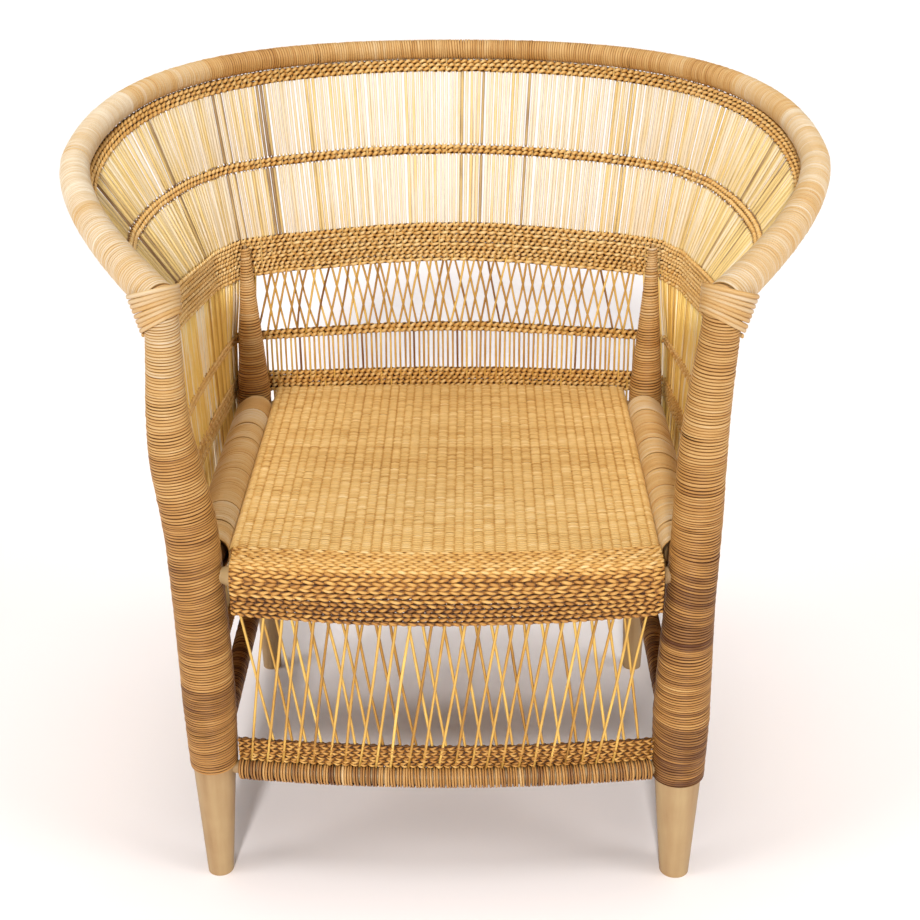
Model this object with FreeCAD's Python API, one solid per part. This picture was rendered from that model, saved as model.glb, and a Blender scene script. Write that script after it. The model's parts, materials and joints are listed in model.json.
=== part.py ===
import FreeCAD, Part
import math
import os

Vector = FreeCAD.Vector
UP = Vector(0, 0, 1)

# Driving dimensions, in millimetres. The chair faces -Y, +X is its right in a front view, the floor is z = 0.

# Seat height and bare feet
SEAT_TOP = 400.0
FOOT_HEIGHT = 138.0

# Front legs: bowed poles that run up to the arms, each with its own swell as (height, radius) pairs
# and its own bow to the outside between the seat and the arm
FRONT_FOOT_X = 252.0
FRONT_FOOT_Y = -212.0
FRONT_KNEE_X = 248.0
FRONT_KNEE_Z = 300.0
FRONT_TOP_X = 261.0
FRONT_TOP_Y = -226.0
LEFT_FOOT_RADIUS = 14.0
LEFT_ANKLE_RADIUS = 22.3
LEFT_SWELL = [(230.0, 25.0), (350.0, 24.2), (440.0, 23.8), (507.0, 21.7), (550.0, 17.8), (591.0, 15.5), (640.0, 13.6)]
LEFT_BOW = 8.5
RIGHT_FOOT_RADIUS = 16.0
RIGHT_ANKLE_RADIUS = 25.2
RIGHT_SWELL = [(210.0, 27.0), (278.0, 25.0), (350.0, 22.6), (464.0, 21.7), (528.0, 20.4), (591.0, 17.8), (640.0, 15.5)]
RIGHT_BOW = -2.5
BOW_Z = 540.0
BOW_REACH = 130.0

# Back legs: upright poles that taper to a point inside the waist band
BACK_LEG_X = 243.5
BACK_LEG_Y = 201.0
BACK_FOOT_RADIUS = 12.0
BACK_ANKLE_RADIUS = 16.5
BACK_SEAT_RADIUS = 17.5
BACK_TIP_RADIUS = 1.8
BACK_TIP_DROP = 4.0

# Top rail: one bent hoop, thin at the back and thick at the arms
RAIL_HALF_WIDTH = 379.0
RAIL_BACK_Y = 349.0
RAIL_WIDEST_Y = 3.0
RAIL_SQUARENESS = 2.15
RAIL_BACK_Z = 790.0
RAIL_SWEEP = 1.85
RAIL_BACK_RADIUS = 9.0
RAIL_ARM_RADIUS = 15.0
ARM_Z = 678.0
ARM_BEND = 1.7
ARM_OVERHANG_X = 9.0
ARM_OVERHANG_Y = 14.0

# Seat rails and bottom stretchers
SEAT_RAIL_RADIUS = 13.0
SIDE_RAIL_RADIUS = 18.0
SIDE_RAIL_PROUD = 3.0
SEAT_TENON_RADIUS = 8.5
FRONT_RAIL_BOW = 18.0
STRETCHER_RADIUS = 9.0
STRETCHER_TENON_RADIUS = 7.0
STRETCHER_Z = 142.0
SIDE_STRETCHER_LIFT = 25.0
STRETCHER_BOW = 20.0
SHOULDER_TAPER = 12.0

# Wraps of split cane, and the lashings at the arms
WRAP_THICKNESS = 2.9
LASHING_DIAMETER = 3.6
LASHING_PITCH = 4.4
LASHING_TURNS = 7
LASHING_SLANT = 6.0
LASHING_BELOW_ARM = 23.0

# Stakes and twined bands of the wall
STAKE_DIAMETER = 3.0
STAKE_SIDES = 6
STAKE_PITCH = 5.5
LATTICE_PITCH = 12.7
LATTICE_DRIFT = 19.0
LATTICE_TUCK = 10.0
STRIP_THICKNESS = 2.4
WALL_BOW = 8.0
SIDE_BOW = 13.0
WAIST_BACK_Z = 585.0
WAIST_CORNER_Z = 571.0
WAIST_FRONT_Z = 611.0
WAIST_HEIGHT = 48.0
LOWER_BACK_Z = 476.0
LOWER_CORNER_Z = 467.0
LOWER_FRONT_Z = 488.0
LOWER_HEIGHT = 13.0
SEAT_BAND_BACK_Z = 408.0
SEAT_BAND_CORNER_Z = 405.0
SEAT_BAND_FRONT_Z = 420.0
SEAT_BAND_HEIGHT = 26.0
SKIRT_HEIGHT = 28.0
UPPER_BAND_SHARE = 0.42
UPPER_BAND_HEIGHT = 12.0
RIM_HEIGHT = 16.0
RAIL_SHARE_AT_ARM = 0.93

# Front apron and woven seat
APRON_BAND_HEIGHT = 29.0
APRON_PITCH = 16.7
APRON_DRIFT = 30.5
APRON_TUCK = 24.0
ROLL_DROP = 55.0
WEAVE_THICKNESS = 2.6
SEAT_CANE_DIAMETER = 4.0
SEAT_CANE_PITCH = 10.7
SEAT_CANE_EDGE = 2.5
BEARER_RADIUS = 10.0
BEARER_TENON_RADIUS = 6.5
BEARER_SPREAD = 70.0

# Nails
NAIL_RADIUS = 1.4
NAIL_GRIP = 15.0
NAIL_STAGGER = 4.0

# Clearances
WRAP_FIT = 0.1
MORTISE_FIT = 0.1
TENON_END_GAP = 1.0
NAIL_FIT = 0.05
CANE_GAP = 0.1
STRIP_FIT = 0.2
REST_GAP = 0.2
WALL_GAP = 0.3
SIDE_GAP = 3.0

# Sizes that follow from the driving dimensions
STAKE_RADIUS = STAKE_DIAMETER / 2
LAYER = STAKE_RADIUS + CANE_GAP / 2
STRIP_FACE = LAYER + STAKE_RADIUS + STRIP_FIT
SKIN = WRAP_FIT + WRAP_THICKNESS
WALL_OFFSET = BACK_SEAT_RADIUS + SKIN + WALL_GAP + STRIP_THICKNESS + STRIP_FACE
CORNER_LENGTH = math.pi / 2 * WALL_OFFSET
SIDE_STRETCHER_Z = STRETCHER_Z + SIDE_STRETCHER_LIFT
SEAT_RAIL_TOP = SEAT_TOP - WEAVE_THICKNESS - SEAT_CANE_DIAMETER - 2 * REST_GAP
SEAT_RAIL_Z = SEAT_RAIL_TOP - SEAT_RAIL_RADIUS
SIDE_RAIL_Z = SEAT_TOP + SIDE_RAIL_PROUD - SIDE_RAIL_RADIUS - SKIN
SKIRT_Z = STRETCHER_Z + STRETCHER_RADIUS + SKIN + SKIRT_HEIGHT / 2
BACK_TIP_Z = WAIST_CORNER_Z + WAIST_HEIGHT / 2 - BACK_TIP_DROP


# Small helpers

def blend(a, b, share):
    """A smooth step from a to b as share goes from 0 to 1."""
    share = min(max(share, 0.0), 1.0)
    return a + (b - a) * (1 - math.cos(math.pi * share)) / 2


def stepped(table, height):
    """The value at a height, along straight lines between (height, value) pairs in rising order."""
    for (low, a), (high, b) in zip(table[:-1], table[1:]):
        if height <= high:
            return a + (b - a) * (height - low) / (high - low)
    return table[-1][1]


def parabola(t, t0, a, t1, b, t2, c):
    """The parabola through (t0, a), (t1, b) and (t2, c)."""
    first = a * (t - t1) * (t - t2) / ((t0 - t1) * (t0 - t2))
    second = b * (t - t0) * (t - t2) / ((t1 - t0) * (t1 - t2))
    third = c * (t - t0) * (t - t1) / ((t2 - t0) * (t2 - t1))
    return first + second + third


def even(low, high, count):
    """count values from low to high, evenly spaced."""
    return [low + (high - low) * i / (count - 1) for i in range(count)]


def unit(vector):
    """A copy of the vector with length 1."""
    return Vector(vector).normalize()


def ring(centre, axis, up, radius):
    """A circle square to axis, with its seam towards up."""
    axis = unit(axis)
    side = unit(axis.cross(up))
    seam = unit(side.cross(axis))
    wire = Part.Wire(Part.makeCircle(radius))
    wire.Placement = FreeCAD.Placement(centre, FreeCAD.Rotation(seam, axis.cross(seam), axis, "ZXY"))
    return wire


def pole(stations, up):
    """A solid through (centre, axis, radius) stations."""
    return Part.makeLoft([ring(c, a, up, r) for c, a, r in stations], True, True)


def grown(stations, extra):
    """The same stations with every radius larger by extra."""
    return [(c, a, r + extra) for c, a, r in stations]


def sleeve(stations, up):
    """The wrap on a pole: a skin of even thickness just off its surface."""
    return pole(grown(stations, SKIN), up).cut(pole(grown(stations, WRAP_FIT), up))


def rod(start, end, radius):
    """A plain round rod from start to end."""
    return Part.makeCylinder(radius, (end - start).Length, start, end - start)


def cane(start, end, diameter):
    """A thin straight cane, its section a regular polygon."""
    axis = unit(end - start)
    side = unit(axis.cross(Vector(0, 1, 0.1)))
    third = axis.cross(side)
    corners = []
    for i in range(STAKE_SIDES + 1):
        angle = 2 * math.pi * i / STAKE_SIDES
        corners.append(start + (side * math.cos(angle) + third * math.sin(angle)) * (diameter / 2))
    return Part.Face(Part.makePolygon(corners)).extrude(end - start)


def mirrored(shape):
    """The same piece on the other side of the chair."""
    return shape.mirror(Vector(0, 0, 0), Vector(1, 0, 0))


# Legs

def leg_radii(foot_radius, ankle_radius, swell):
    """A front leg's (height, radius) pairs from the floor to the arm."""
    return [(0.0, foot_radius), (FOOT_HEIGHT, ankle_radius)] + swell + [(ARM_Z, swell[-1][1])]


LEFT_RADII = leg_radii(LEFT_FOOT_RADIUS, LEFT_ANKLE_RADIUS, LEFT_SWELL)
RIGHT_RADII = leg_radii(RIGHT_FOOT_RADIUS, RIGHT_ANKLE_RADIUS, RIGHT_SWELL)
BACK_RADII = [
    (0.0, BACK_FOOT_RADIUS),
    (FOOT_HEIGHT, BACK_ANKLE_RADIUS),
    (SEAT_TOP, BACK_SEAT_RADIUS),
    (BACK_TIP_Z, BACK_TIP_RADIUS),
]


def front_axis(z):
    """The right front leg's centre at a height."""
    x = parabola(z, 0.0, FRONT_FOOT_X, FRONT_KNEE_Z, FRONT_KNEE_X, ARM_Z, FRONT_TOP_X)
    y = FRONT_FOOT_Y + (FRONT_TOP_Y - FRONT_FOOT_Y) * z / ARM_Z
    return Vector(x, y, z)


def bowed_axis(bow):
    """The centre line of a right front leg with its own bow, as a function of height."""

    def axis(z):
        share = min(abs(z - BOW_Z) / BOW_REACH, 1.0)
        return front_axis(z) + Vector(blend(bow, 0.0, share), 0, 0)

    return axis


def front_radius(z):
    """The larger of the two front legs' radii, for what stands clear of either leg."""
    return max(stepped(LEFT_RADII, z), stepped(RIGHT_RADII, z))


def slim_radius(z):
    """The smaller of the two front legs' radii, for what lies inside either leg."""
    return min(stepped(LEFT_RADII, z), stepped(RIGHT_RADII, z))


def back_axis(z):
    """The right back leg's centre at a height."""
    return Vector(BACK_LEG_X, BACK_LEG_Y, z)


def back_radius(z):
    return stepped(BACK_RADII, z)


def leg_stations(axis, radius, low, heights):
    """Level sections of a leg from low upwards."""
    kept = [low] + [z for z in heights if z > low]
    return [(axis(z), UP, radius(z)) for z in kept]


BACK_HEIGHTS = [z for z, r in BACK_RADII]
FORWARD = Vector(0, -1, 0)


# Top rail

def rail_curve():
    """Points along the right half of the rail's centre line, from the back to the arm's end."""
    steps = 240
    power = 2 / RAIL_SQUARENESS
    points = []
    for i in range(steps + 1):
        angle = math.pi / 2 * i / steps
        x = RAIL_HALF_WIDTH * math.sin(angle) ** power
        y = RAIL_WIDEST_Y + (RAIL_BACK_Y - RAIL_WIDEST_Y) * max(math.cos(angle), 0.0) ** power
        points.append((x, y))
    end_x = FRONT_TOP_X - ARM_OVERHANG_X
    end_y = FRONT_TOP_Y - ARM_OVERHANG_Y
    for i in range(1, steps + 1):
        share = i / steps
        x = RAIL_HALF_WIDTH - (RAIL_HALF_WIDTH - end_x) * share ** ARM_BEND
        points.append((x, RAIL_WIDEST_Y + (end_y - RAIL_WIDEST_Y) * share))
    return [Vector(x, y, rail_height(y)) for x, y in points]


def rail_height(y):
    """Height of the rail's centre line, falling from the back to the arms."""
    share = max(RAIL_BACK_Y - y, 0.0) / (RAIL_BACK_Y - FRONT_TOP_Y)
    return RAIL_BACK_Z - (RAIL_BACK_Z - ARM_Z) * share ** RAIL_SWEEP


RAIL_CURVE = rail_curve()
RAIL_RUN = [0.0]
for before, after in zip(RAIL_CURVE[:-1], RAIL_CURVE[1:]):
    RAIL_RUN.append(RAIL_RUN[-1] + (after - before).Length)


def rail_point(share):
    """Centre of the rail, from -1 at the left arm's end through 0 at the back to 1 at the right arm's end."""
    distance = abs(share) * RAIL_RUN[-1]
    k = 1
    while k < len(RAIL_RUN) - 1 and RAIL_RUN[k] < distance:
        k += 1
    part = (distance - RAIL_RUN[k - 1]) / (RAIL_RUN[k] - RAIL_RUN[k - 1])
    point = RAIL_CURVE[k - 1] + (RAIL_CURVE[k] - RAIL_CURVE[k - 1]) * part
    return Vector(math.copysign(point.x, share), point.y, point.z)


def rail_radius(share):
    return RAIL_BACK_RADIUS + (RAIL_ARM_RADIUS - RAIL_BACK_RADIUS) * share ** 2


def rail_stations(low, high, count):
    """Square sections of the rail between two shares of its half length."""
    reach = 0.004
    found = []
    for share in even(low, high, count):
        ahead = rail_point(min(share + reach, 1.0))
        behind = rail_point(max(share - reach, -1.0))
        found.append((rail_point(share), ahead - behind, rail_radius(share)))
    return found


# Bowed front rails: share x of a parabola between the front legs

def bowed_y(x, z, bow, half_span):
    """Y of a bowed front line at x, level with the legs' centres at its ends."""
    return front_axis(z).y - bow * (1 - (x / half_span) ** 2)


def bowed_stations(z, bow, tenon_radius, body_radius, extra_length):
    """Sections of a bowed front rail, with a tenon at each end."""
    leg_x = front_axis(z).x
    half_span = leg_x - tenon_radius - TENON_END_GAP
    shoulder = leg_x - front_radius(z) - SKIN
    body = shoulder - SHOULDER_TAPER
    marks = [half_span + extra_length, shoulder, body]
    marks = [-x for x in marks] + even(-body, body, 13)[1:-1] + marks[::-1]
    found = []
    for x in marks:
        y = bowed_y(x, z, bow, half_span)
        slope = 2 * bow * x / half_span ** 2
        radius = body_radius if abs(x) <= body else tenon_radius
        found.append((Vector(x, y, z), Vector(1, slope, 0), radius))
    return found


def body_of(stations, body_radius):
    """The stations of a rail between its tenons."""
    return [s for s in stations if s[2] == body_radius]


# Straight rails with a turned tenon at each end

def turned_rail(start, end, reach_start, reach_end, tenon_radius, body_radius):
    """A pole from start to end, turned down to tenons that are reach_start and reach_end long."""
    length = (end - start).Length
    outline = [
        Vector(0, 0, 0),
        Vector(tenon_radius, 0, 0),
        Vector(tenon_radius, 0, reach_start),
        Vector(body_radius, 0, reach_start + SHOULDER_TAPER),
        Vector(body_radius, 0, length - reach_end - SHOULDER_TAPER),
        Vector(tenon_radius, 0, length - reach_end),
        Vector(tenon_radius, 0, length),
        Vector(0, 0, length),
        Vector(0, 0, 0),
    ]
    solid = Part.Face(Part.makePolygon(outline)).revolve(Vector(0, 0, 0), UP, 360)
    solid.Placement = FreeCAD.Placement(start, FreeCAD.Rotation(UP, end - start))
    return solid


def straight_sleeve(start, end, radius):
    """The wrap on a straight pole."""
    return rod(start, end, radius + SKIN).cut(rod(start, end, radius + WRAP_FIT))


class StraightRail:
    """A rail between two round uprights, its wrap and the hole that its tenons need."""

    def __init__(self, start_axis, end_axis, start_cover, end_cover, tenon_radius, body_radius):
        along = unit(end_axis - start_axis)
        stop = tenon_radius + TENON_END_GAP
        start = start_axis + along * stop
        end = end_axis - along * stop
        start_reach = start_cover - stop
        end_reach = end_cover - stop
        self.solid = turned_rail(start, end, start_reach, end_reach, tenon_radius, body_radius)
        self.hole = rod(start - along * TENON_END_GAP / 2, end + along * TENON_END_GAP / 2, tenon_radius + MORTISE_FIT)
        self.wrap = straight_sleeve(
            start + along * (start_reach + SHOULDER_TAPER),
            end - along * (end_reach + SHOULDER_TAPER),
            body_radius,
        )


def side_rail(z, tenon_radius, body_radius):
    """A right-hand rail from the front leg to the back leg, in line with the back leg."""
    front = front_axis(z)
    return StraightRail(
        Vector(BACK_LEG_X, front.y, z),
        back_axis(z),
        front_radius(z) + SKIN + REST_GAP,
        back_radius(z) + SKIN + REST_GAP,
        tenon_radius,
        body_radius,
    )


def back_rail(z, tenon_radius, body_radius):
    """A rail across the back, from leg to leg."""
    cover = back_radius(z) + SKIN + REST_GAP
    left = Vector(-BACK_LEG_X, BACK_LEG_Y, z)
    return StraightRail(left, back_axis(z), cover, cover, tenon_radius, body_radius)


# The woven wall, measured as distance s from the middle of the back: positive to the right

def wall_plan(s):
    """The wall's plan at s: a point and its outward normal."""
    side = math.copysign(1, s)
    run = abs(s)
    if run <= BACK_LEG_X:
        bow = WALL_BOW * (1 - (run / BACK_LEG_X) ** 2)
        point = Vector(side * run, BACK_LEG_Y + WALL_OFFSET + bow, 0)
        return point, Vector(0, 1, 0)
    centre = Vector(side * BACK_LEG_X, BACK_LEG_Y, 0)
    angle = min((run - BACK_LEG_X) / WALL_OFFSET, math.pi / 2)
    normal = Vector(side * math.sin(angle), math.cos(angle), 0)
    forward = max(run - BACK_LEG_X - CORNER_LENGTH, 0.0)
    return centre + normal * WALL_OFFSET + FORWARD * forward, normal


def side_bow(s, z):
    """How far the wall stands out beside the seat: nothing at its foot, most at the waist."""
    corner = BACK_LEG_X + CORNER_LENGTH
    share = min(max((abs(s) - corner) / (WALL_FRONT - corner), 0.0), 1.0)
    rise = (z - SKIRT_Z) / (WAIST_CORNER_Z - SKIRT_Z)
    return SIDE_BOW * 4 * share * (1 - share) * rise


def wall_point(s, z, offset):
    """A point on the wall, offset outwards."""
    point, normal = wall_plan(s)
    return point + normal * (offset + side_bow(s, z)) + UP * z


def wall_end(z, gap):
    """Distance s at which the wall stops short of the front leg."""
    stop = front_axis(z).y + front_radius(z) + SKIN + gap
    return BACK_LEG_X + CORNER_LENGTH + BACK_LEG_Y - stop


STAKE_END = min(wall_end(z, STAKE_RADIUS + REST_GAP) for z in even(FOOT_HEIGHT, SEAT_TOP, 12))
WALL_FRONT = wall_end(WAIST_FRONT_Z, REST_GAP)


def along_wall(s, back, corner, front):
    """A height that runs from the middle of the back through the corner to the front."""
    middle = BACK_LEG_X + CORNER_LENGTH / 2
    if abs(s) < middle:
        return blend(back, corner, abs(s) / middle)
    return blend(corner, front, (abs(s) - middle) / (WALL_FRONT - middle))


def waist_z(s):
    return along_wall(s, WAIST_BACK_Z, WAIST_CORNER_Z, WAIST_FRONT_Z)


def lower_z(s):
    return along_wall(s, LOWER_BACK_Z, LOWER_CORNER_Z, LOWER_FRONT_Z)


def seat_band_z(s):
    return along_wall(s, SEAT_BAND_BACK_Z, SEAT_BAND_CORNER_Z, SEAT_BAND_FRONT_Z)


def skirt_z(s):
    return SKIRT_Z


def waist_top(s):
    return waist_z(s) + WAIST_HEIGHT / 2


def wall_marks(end):
    """Values of s from end to end, close together round the corners."""
    corner = BACK_LEG_X + CORNER_LENGTH
    right = even(BACK_LEG_X, corner, 9) + even(corner, end, 17)[1:]
    left = [-s for s in reversed(right)]
    return left + even(-BACK_LEG_X, BACK_LEG_X, 13)[1:-1] + right


def panel_line(s):
    """The flared stake line at s: its foot on the waist, its direction, its length to the rail and its normal."""
    foot = wall_point(s, waist_top(s), 0)
    share = s / WALL_FRONT * RAIL_SHARE_AT_ARM
    line = rail_point(share) - foot
    nudge = 2.0
    near = wall_point(s - nudge, waist_top(s - nudge), 0)
    far = wall_point(s + nudge, waist_top(s + nudge), 0)
    turn = nudge / WALL_FRONT * RAIL_SHARE_AT_ARM
    tangent = (far - near) + (rail_point(share + turn) - rail_point(share - turn))
    normal = unit(unit(line).cross(unit(tangent)))
    return foot, unit(line), line.Length, normal


def rail_skin(s):
    """Radius of the wrapped rail above the stake at s."""
    return rail_radius(s / WALL_FRONT * RAIL_SHARE_AT_ARM) + SKIN


def strip(section_at, marks):
    """A band strip through four-cornered sections."""
    wires = []
    for mark in marks:
        corners = section_at(mark)
        wires.append(Part.makePolygon(corners + corners[:1]))
    solid = Part.makeLoft(wires, True, True)
    return solid if solid.Volume > 0 else solid.reversed()


def wall_strip(centre_z, height, side, end):
    """One strip of a band on the upright wall, on its outer (+1) or inner (-1) side."""
    near = side * STRIP_FACE
    far = side * (STRIP_FACE + STRIP_THICKNESS)

    def section(s):
        low = centre_z(s) - height / 2
        high = centre_z(s) + height / 2
        return [wall_point(s, z, o) for z, o in ((low, near), (low, far), (high, far), (high, near))]

    return strip(section, wall_marks(end))


def wall_band(centre_z, height, front_z):
    """Both strips of a band, with the stakes between them."""
    end = wall_end(front_z, REST_GAP)
    return [wall_strip(centre_z, height, side, end) for side in (-1, 1)]


def panel_strip(low_at, height, side):
    """One strip of a band on the flared panel; low_at gives its lower edge along each stake."""
    near = side * STRIP_FACE
    far = side * (STRIP_FACE + STRIP_THICKNESS)

    def section(s):
        foot, line, length, normal = panel_line(s)
        low = low_at(s, length)
        high = low + height
        return [foot + line * h + normal * o for h, o in ((low, near), (low, far), (high, far), (high, near))]

    end = PANEL_END - STAKE_PITCH
    return strip(section, even(-end, end, 85))


def upper_low(s, length):
    return UPPER_BAND_SHARE * length - UPPER_BAND_HEIGHT / 2


def rim_low(s, length):
    return length - rail_skin(s) - WALL_GAP - RIM_HEIGHT


PANEL_END = WALL_FRONT - 4 * STAKE_DIAMETER


def stake_marks(low, high):
    """Stake places (s, layer) at the stake pitch between two distances, in alternate layers."""
    found = []
    i = math.ceil(low / STAKE_PITCH - 0.5)
    while (i + 0.5) * STAKE_PITCH < high:
        found.append(((i + 0.5) * STAKE_PITCH, LAYER if i % 2 else -LAYER))
        i += 1
    return found


def upper_stakes(low, high):
    """Flared stakes from the waist band to the rail."""
    found = []
    for s, layer in stake_marks(low, high):
        foot, line, length, normal = panel_line(s)
        start = foot + normal * layer + line * REST_GAP * 5
        end = foot + normal * layer + line * (length - rail_skin(s) - REST_GAP)
        found.append(cane(start, end, STAKE_DIAMETER))
    return found


def side_stakes(low, high):
    """Upright stakes from the foot of the skirt to the top of the waist band."""
    foot = SKIRT_Z - SKIRT_HEIGHT / 2
    found = []
    for s, layer in stake_marks(low, high):
        start = wall_point(s, foot, layer)
        found.append(cane(start, wall_point(s, waist_top(s) - REST_GAP, layer), STAKE_DIAMETER))
    return found


def back_stakes():
    """Upright stakes of the back, from the foot of the skirt into the lower band."""
    foot = SKIRT_Z - SKIRT_HEIGHT / 2
    found = []
    for s, layer in stake_marks(-BACK_LEG_X, BACK_LEG_X):
        start = wall_point(s, foot, layer)
        found.append(cane(start, wall_point(s, lower_z(s) - REST_GAP, layer), STAKE_DIAMETER))
    return found


def back_lattice():
    """Crossed canes of the back, from the lower band into the waist band."""
    limit = BACK_LEG_X - STAKE_DIAMETER
    found = []
    for layer, lean in ((-LAYER, 1), (LAYER, -1)):
        half = int(limit / LATTICE_PITCH)
        for i in range(-half, half + 1):
            s = i * LATTICE_PITCH
            top = s + lean * LATTICE_DRIFT
            if abs(top) > limit:
                continue
            start = wall_point(s, lower_z(s) + REST_GAP, layer)
            end = wall_point(top, waist_z(top) - WAIST_HEIGHT / 2 + LATTICE_TUCK, layer)
            found.append(cane(start, end, STAKE_DIAMETER))
    return found


# Front apron

APRON_FOOT_Z = STRETCHER_Z + STRETCHER_RADIUS + SKIN + REST_GAP
ROLL_FOOT_Z = SEAT_TOP - ROLL_DROP
ROLL_BORE = SEAT_RAIL_RADIUS + REST_GAP
ROLL_SKIN = SEAT_TOP - SEAT_RAIL_TOP - REST_GAP
APRON_SPAN = front_axis(ROLL_FOOT_Z).x


def apron_y(x, z):
    """Y of the apron's middle surface: over the stretcher at its foot, behind the roll at its top."""
    foot = bowed_y(x, STRETCHER_Z, STRETCHER_BOW, APRON_SPAN)
    head = bowed_y(x, SEAT_RAIL_Z, FRONT_RAIL_BOW, APRON_SPAN) - ROLL_BORE + STRIP_FACE
    share = (z - APRON_FOOT_Z) / (ROLL_FOOT_Z - APRON_FOOT_Z)
    return foot + (head - foot) * share


def apron_end(z):
    """Half width of the apron between the wrapped front legs."""
    return front_axis(z).x - front_radius(z) - SKIN - SIDE_GAP


def front_lattice():
    """Crossed canes from the stretcher up behind the roll, in two layers."""
    top_z = ROLL_FOOT_Z + APRON_TUCK
    limit = min(apron_end(APRON_FOOT_Z), apron_end(ROLL_FOOT_Z))
    found = []
    for layer, lean in ((-LAYER, 1), (LAYER, -1)):
        half = int(limit / APRON_PITCH) + 1
        for i in range(-half, half):
            x = (i + 0.5) * APRON_PITCH - lean * APRON_DRIFT / 2
            top = x + lean * APRON_DRIFT
            if max(abs(x), abs(top)) > limit:
                continue
            start = Vector(x, apron_y(x, APRON_FOOT_Z) + layer, APRON_FOOT_Z)
            end = Vector(top, apron_y(top, top_z) + layer, top_z)
            found.append(cane(start, end, STAKE_DIAMETER))
    return found


def apron_strip(side):
    """One strip of the apron's twined band, on its back (+1) or front (-1)."""
    near = side * (STRIP_FACE + STRIP_FIT)
    far = near + side * STRIP_THICKNESS
    low = APRON_FOOT_Z
    high = APRON_FOOT_Z + APRON_BAND_HEIGHT

    def section(x):
        return [Vector(x, apron_y(x, z) + o, z) for z, o in ((low, near), (low, far), (high, far), (high, near))]

    end = apron_end(APRON_FOOT_Z)
    return strip(section, even(-end, end, 15))


# Seat

def roll_section(x):
    """The front roll's section: over the rail's crown, round its front and down."""
    y = bowed_y(x, SEAT_RAIL_Z, FRONT_RAIL_BOW, APRON_SPAN)
    inner = ROLL_BORE
    outer = ROLL_BORE + ROLL_SKIN
    drop = ROLL_FOOT_Z - SEAT_RAIL_Z
    slant = math.sqrt(0.5)

    def at(forward, up):
        return Vector(x, y - forward, SEAT_RAIL_Z + up)

    edges = [
        Part.Arc(at(0, outer), at(outer * slant, outer * slant), at(outer, 0)).toShape(),
        Part.LineSegment(at(outer, 0), at(outer, drop)).toShape(),
        Part.LineSegment(at(outer, drop), at(inner, drop)).toShape(),
        Part.LineSegment(at(inner, drop), at(inner, 0)).toShape(),
        Part.Arc(at(inner, 0), at(inner * slant, inner * slant), at(0, inner)).toShape(),
        Part.LineSegment(at(0, inner), at(0, outer)).toShape(),
    ]
    return Part.Wire(edges)


def front_roll():
    """The twined front edge of the seat, over the front rail."""
    end = front_axis(SEAT_RAIL_Z).x - front_radius(SEAT_RAIL_Z) - SKIN - SIDE_GAP
    solid = Part.makeLoft([roll_section(x) for x in even(-end, end, 13)], True, True)
    return solid if solid.Volume > 0 else solid.reversed()


SEAT_HALF_WIDTH = BACK_LEG_X - SIDE_RAIL_RADIUS - SKIN - SIDE_GAP
WEAVE_HALF_WIDTH = SEAT_HALF_WIDTH - SIDE_GAP
SEAT_BACK_Y = BACK_LEG_Y + SEAT_RAIL_RADIUS / 2


def seat_front_y(x):
    """The line behind the roll where the seat's weave and canes start."""
    return bowed_y(x, SEAT_RAIL_Z, FRONT_RAIL_BOW, APRON_SPAN) + REST_GAP


def seat_weave():
    """The woven sheet of the seat, laid on its canes."""
    z = SEAT_TOP - WEAVE_THICKNESS
    half = WEAVE_HALF_WIDTH
    front = [Vector(x, seat_front_y(x), z) for x in even(-half, half, 13)]
    corners = front + [Vector(half, SEAT_BACK_Y, z), Vector(-half, SEAT_BACK_Y, z)]
    return Part.Face(Part.makePolygon(corners + corners[:1])).extrude(UP * WEAVE_THICKNESS)


def seat_canes():
    """Canes from the front rail to the back rail, under the woven sheet. The outer ones keep to its edges."""
    z = SEAT_RAIL_TOP + REST_GAP + SEAT_CANE_DIAMETER / 2
    span = WEAVE_HALF_WIDTH - SEAT_CANE_EDGE
    half = round(span / SEAT_CANE_PITCH)
    found = []
    for i in range(-half, half + 1):
        x = i * span / half
        start = Vector(x, seat_front_y(x), z)
        found.append(cane(start, Vector(x, SEAT_BACK_Y, z), SEAT_CANE_DIAMETER))
    return found


def bearer(y):
    """A cross pole between the side seat rails, just under the canes."""
    z = SEAT_RAIL_TOP - BEARER_RADIUS
    cover = SIDE_RAIL_RADIUS + SKIN + REST_GAP
    left = Vector(-BACK_LEG_X, y, z)
    return StraightRail(left, Vector(BACK_LEG_X, y, z), cover, cover, BEARER_TENON_RADIUS, BEARER_RADIUS)


# Arm lashings: one unbroken tube of slanted turns round the front leg, under the arm

LASHING_TOP_Z = ARM_Z - LASHING_BELOW_ARM - LASHING_SLANT


def lashing_point(axis, turn):
    """A point on the lashing's centre line after a number of turns from its lower end, round a leg's axis."""
    angle = 2 * math.pi * turn
    z = LASHING_TOP_Z - (LASHING_TURNS - turn) * LASHING_PITCH
    reach = front_radius(z - LASHING_SLANT) + SKIN + REST_GAP + LASHING_DIAMETER / 2
    centre = axis(z)
    slant = -LASHING_SLANT * math.cos(angle)
    return centre + Vector(reach * math.cos(angle), reach * math.sin(angle), slant)


def lashing_tangent(axis, turn):
    step = 0.001
    return unit(lashing_point(axis, turn + step) - lashing_point(axis, turn - step))


def arc_from(start, tangent, end):
    """The arc from start, leaving along tangent, to end."""
    chord = end - start
    forward = unit(chord)
    across = tangent - forward * tangent.dot(forward)
    angle = tangent.getAngle(chord)
    middle = (start + end) * 0.5 + unit(across) * (chord.Length / 2 * math.tan(angle / 2))
    return Part.Arc(start, middle, end).toShape()


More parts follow.
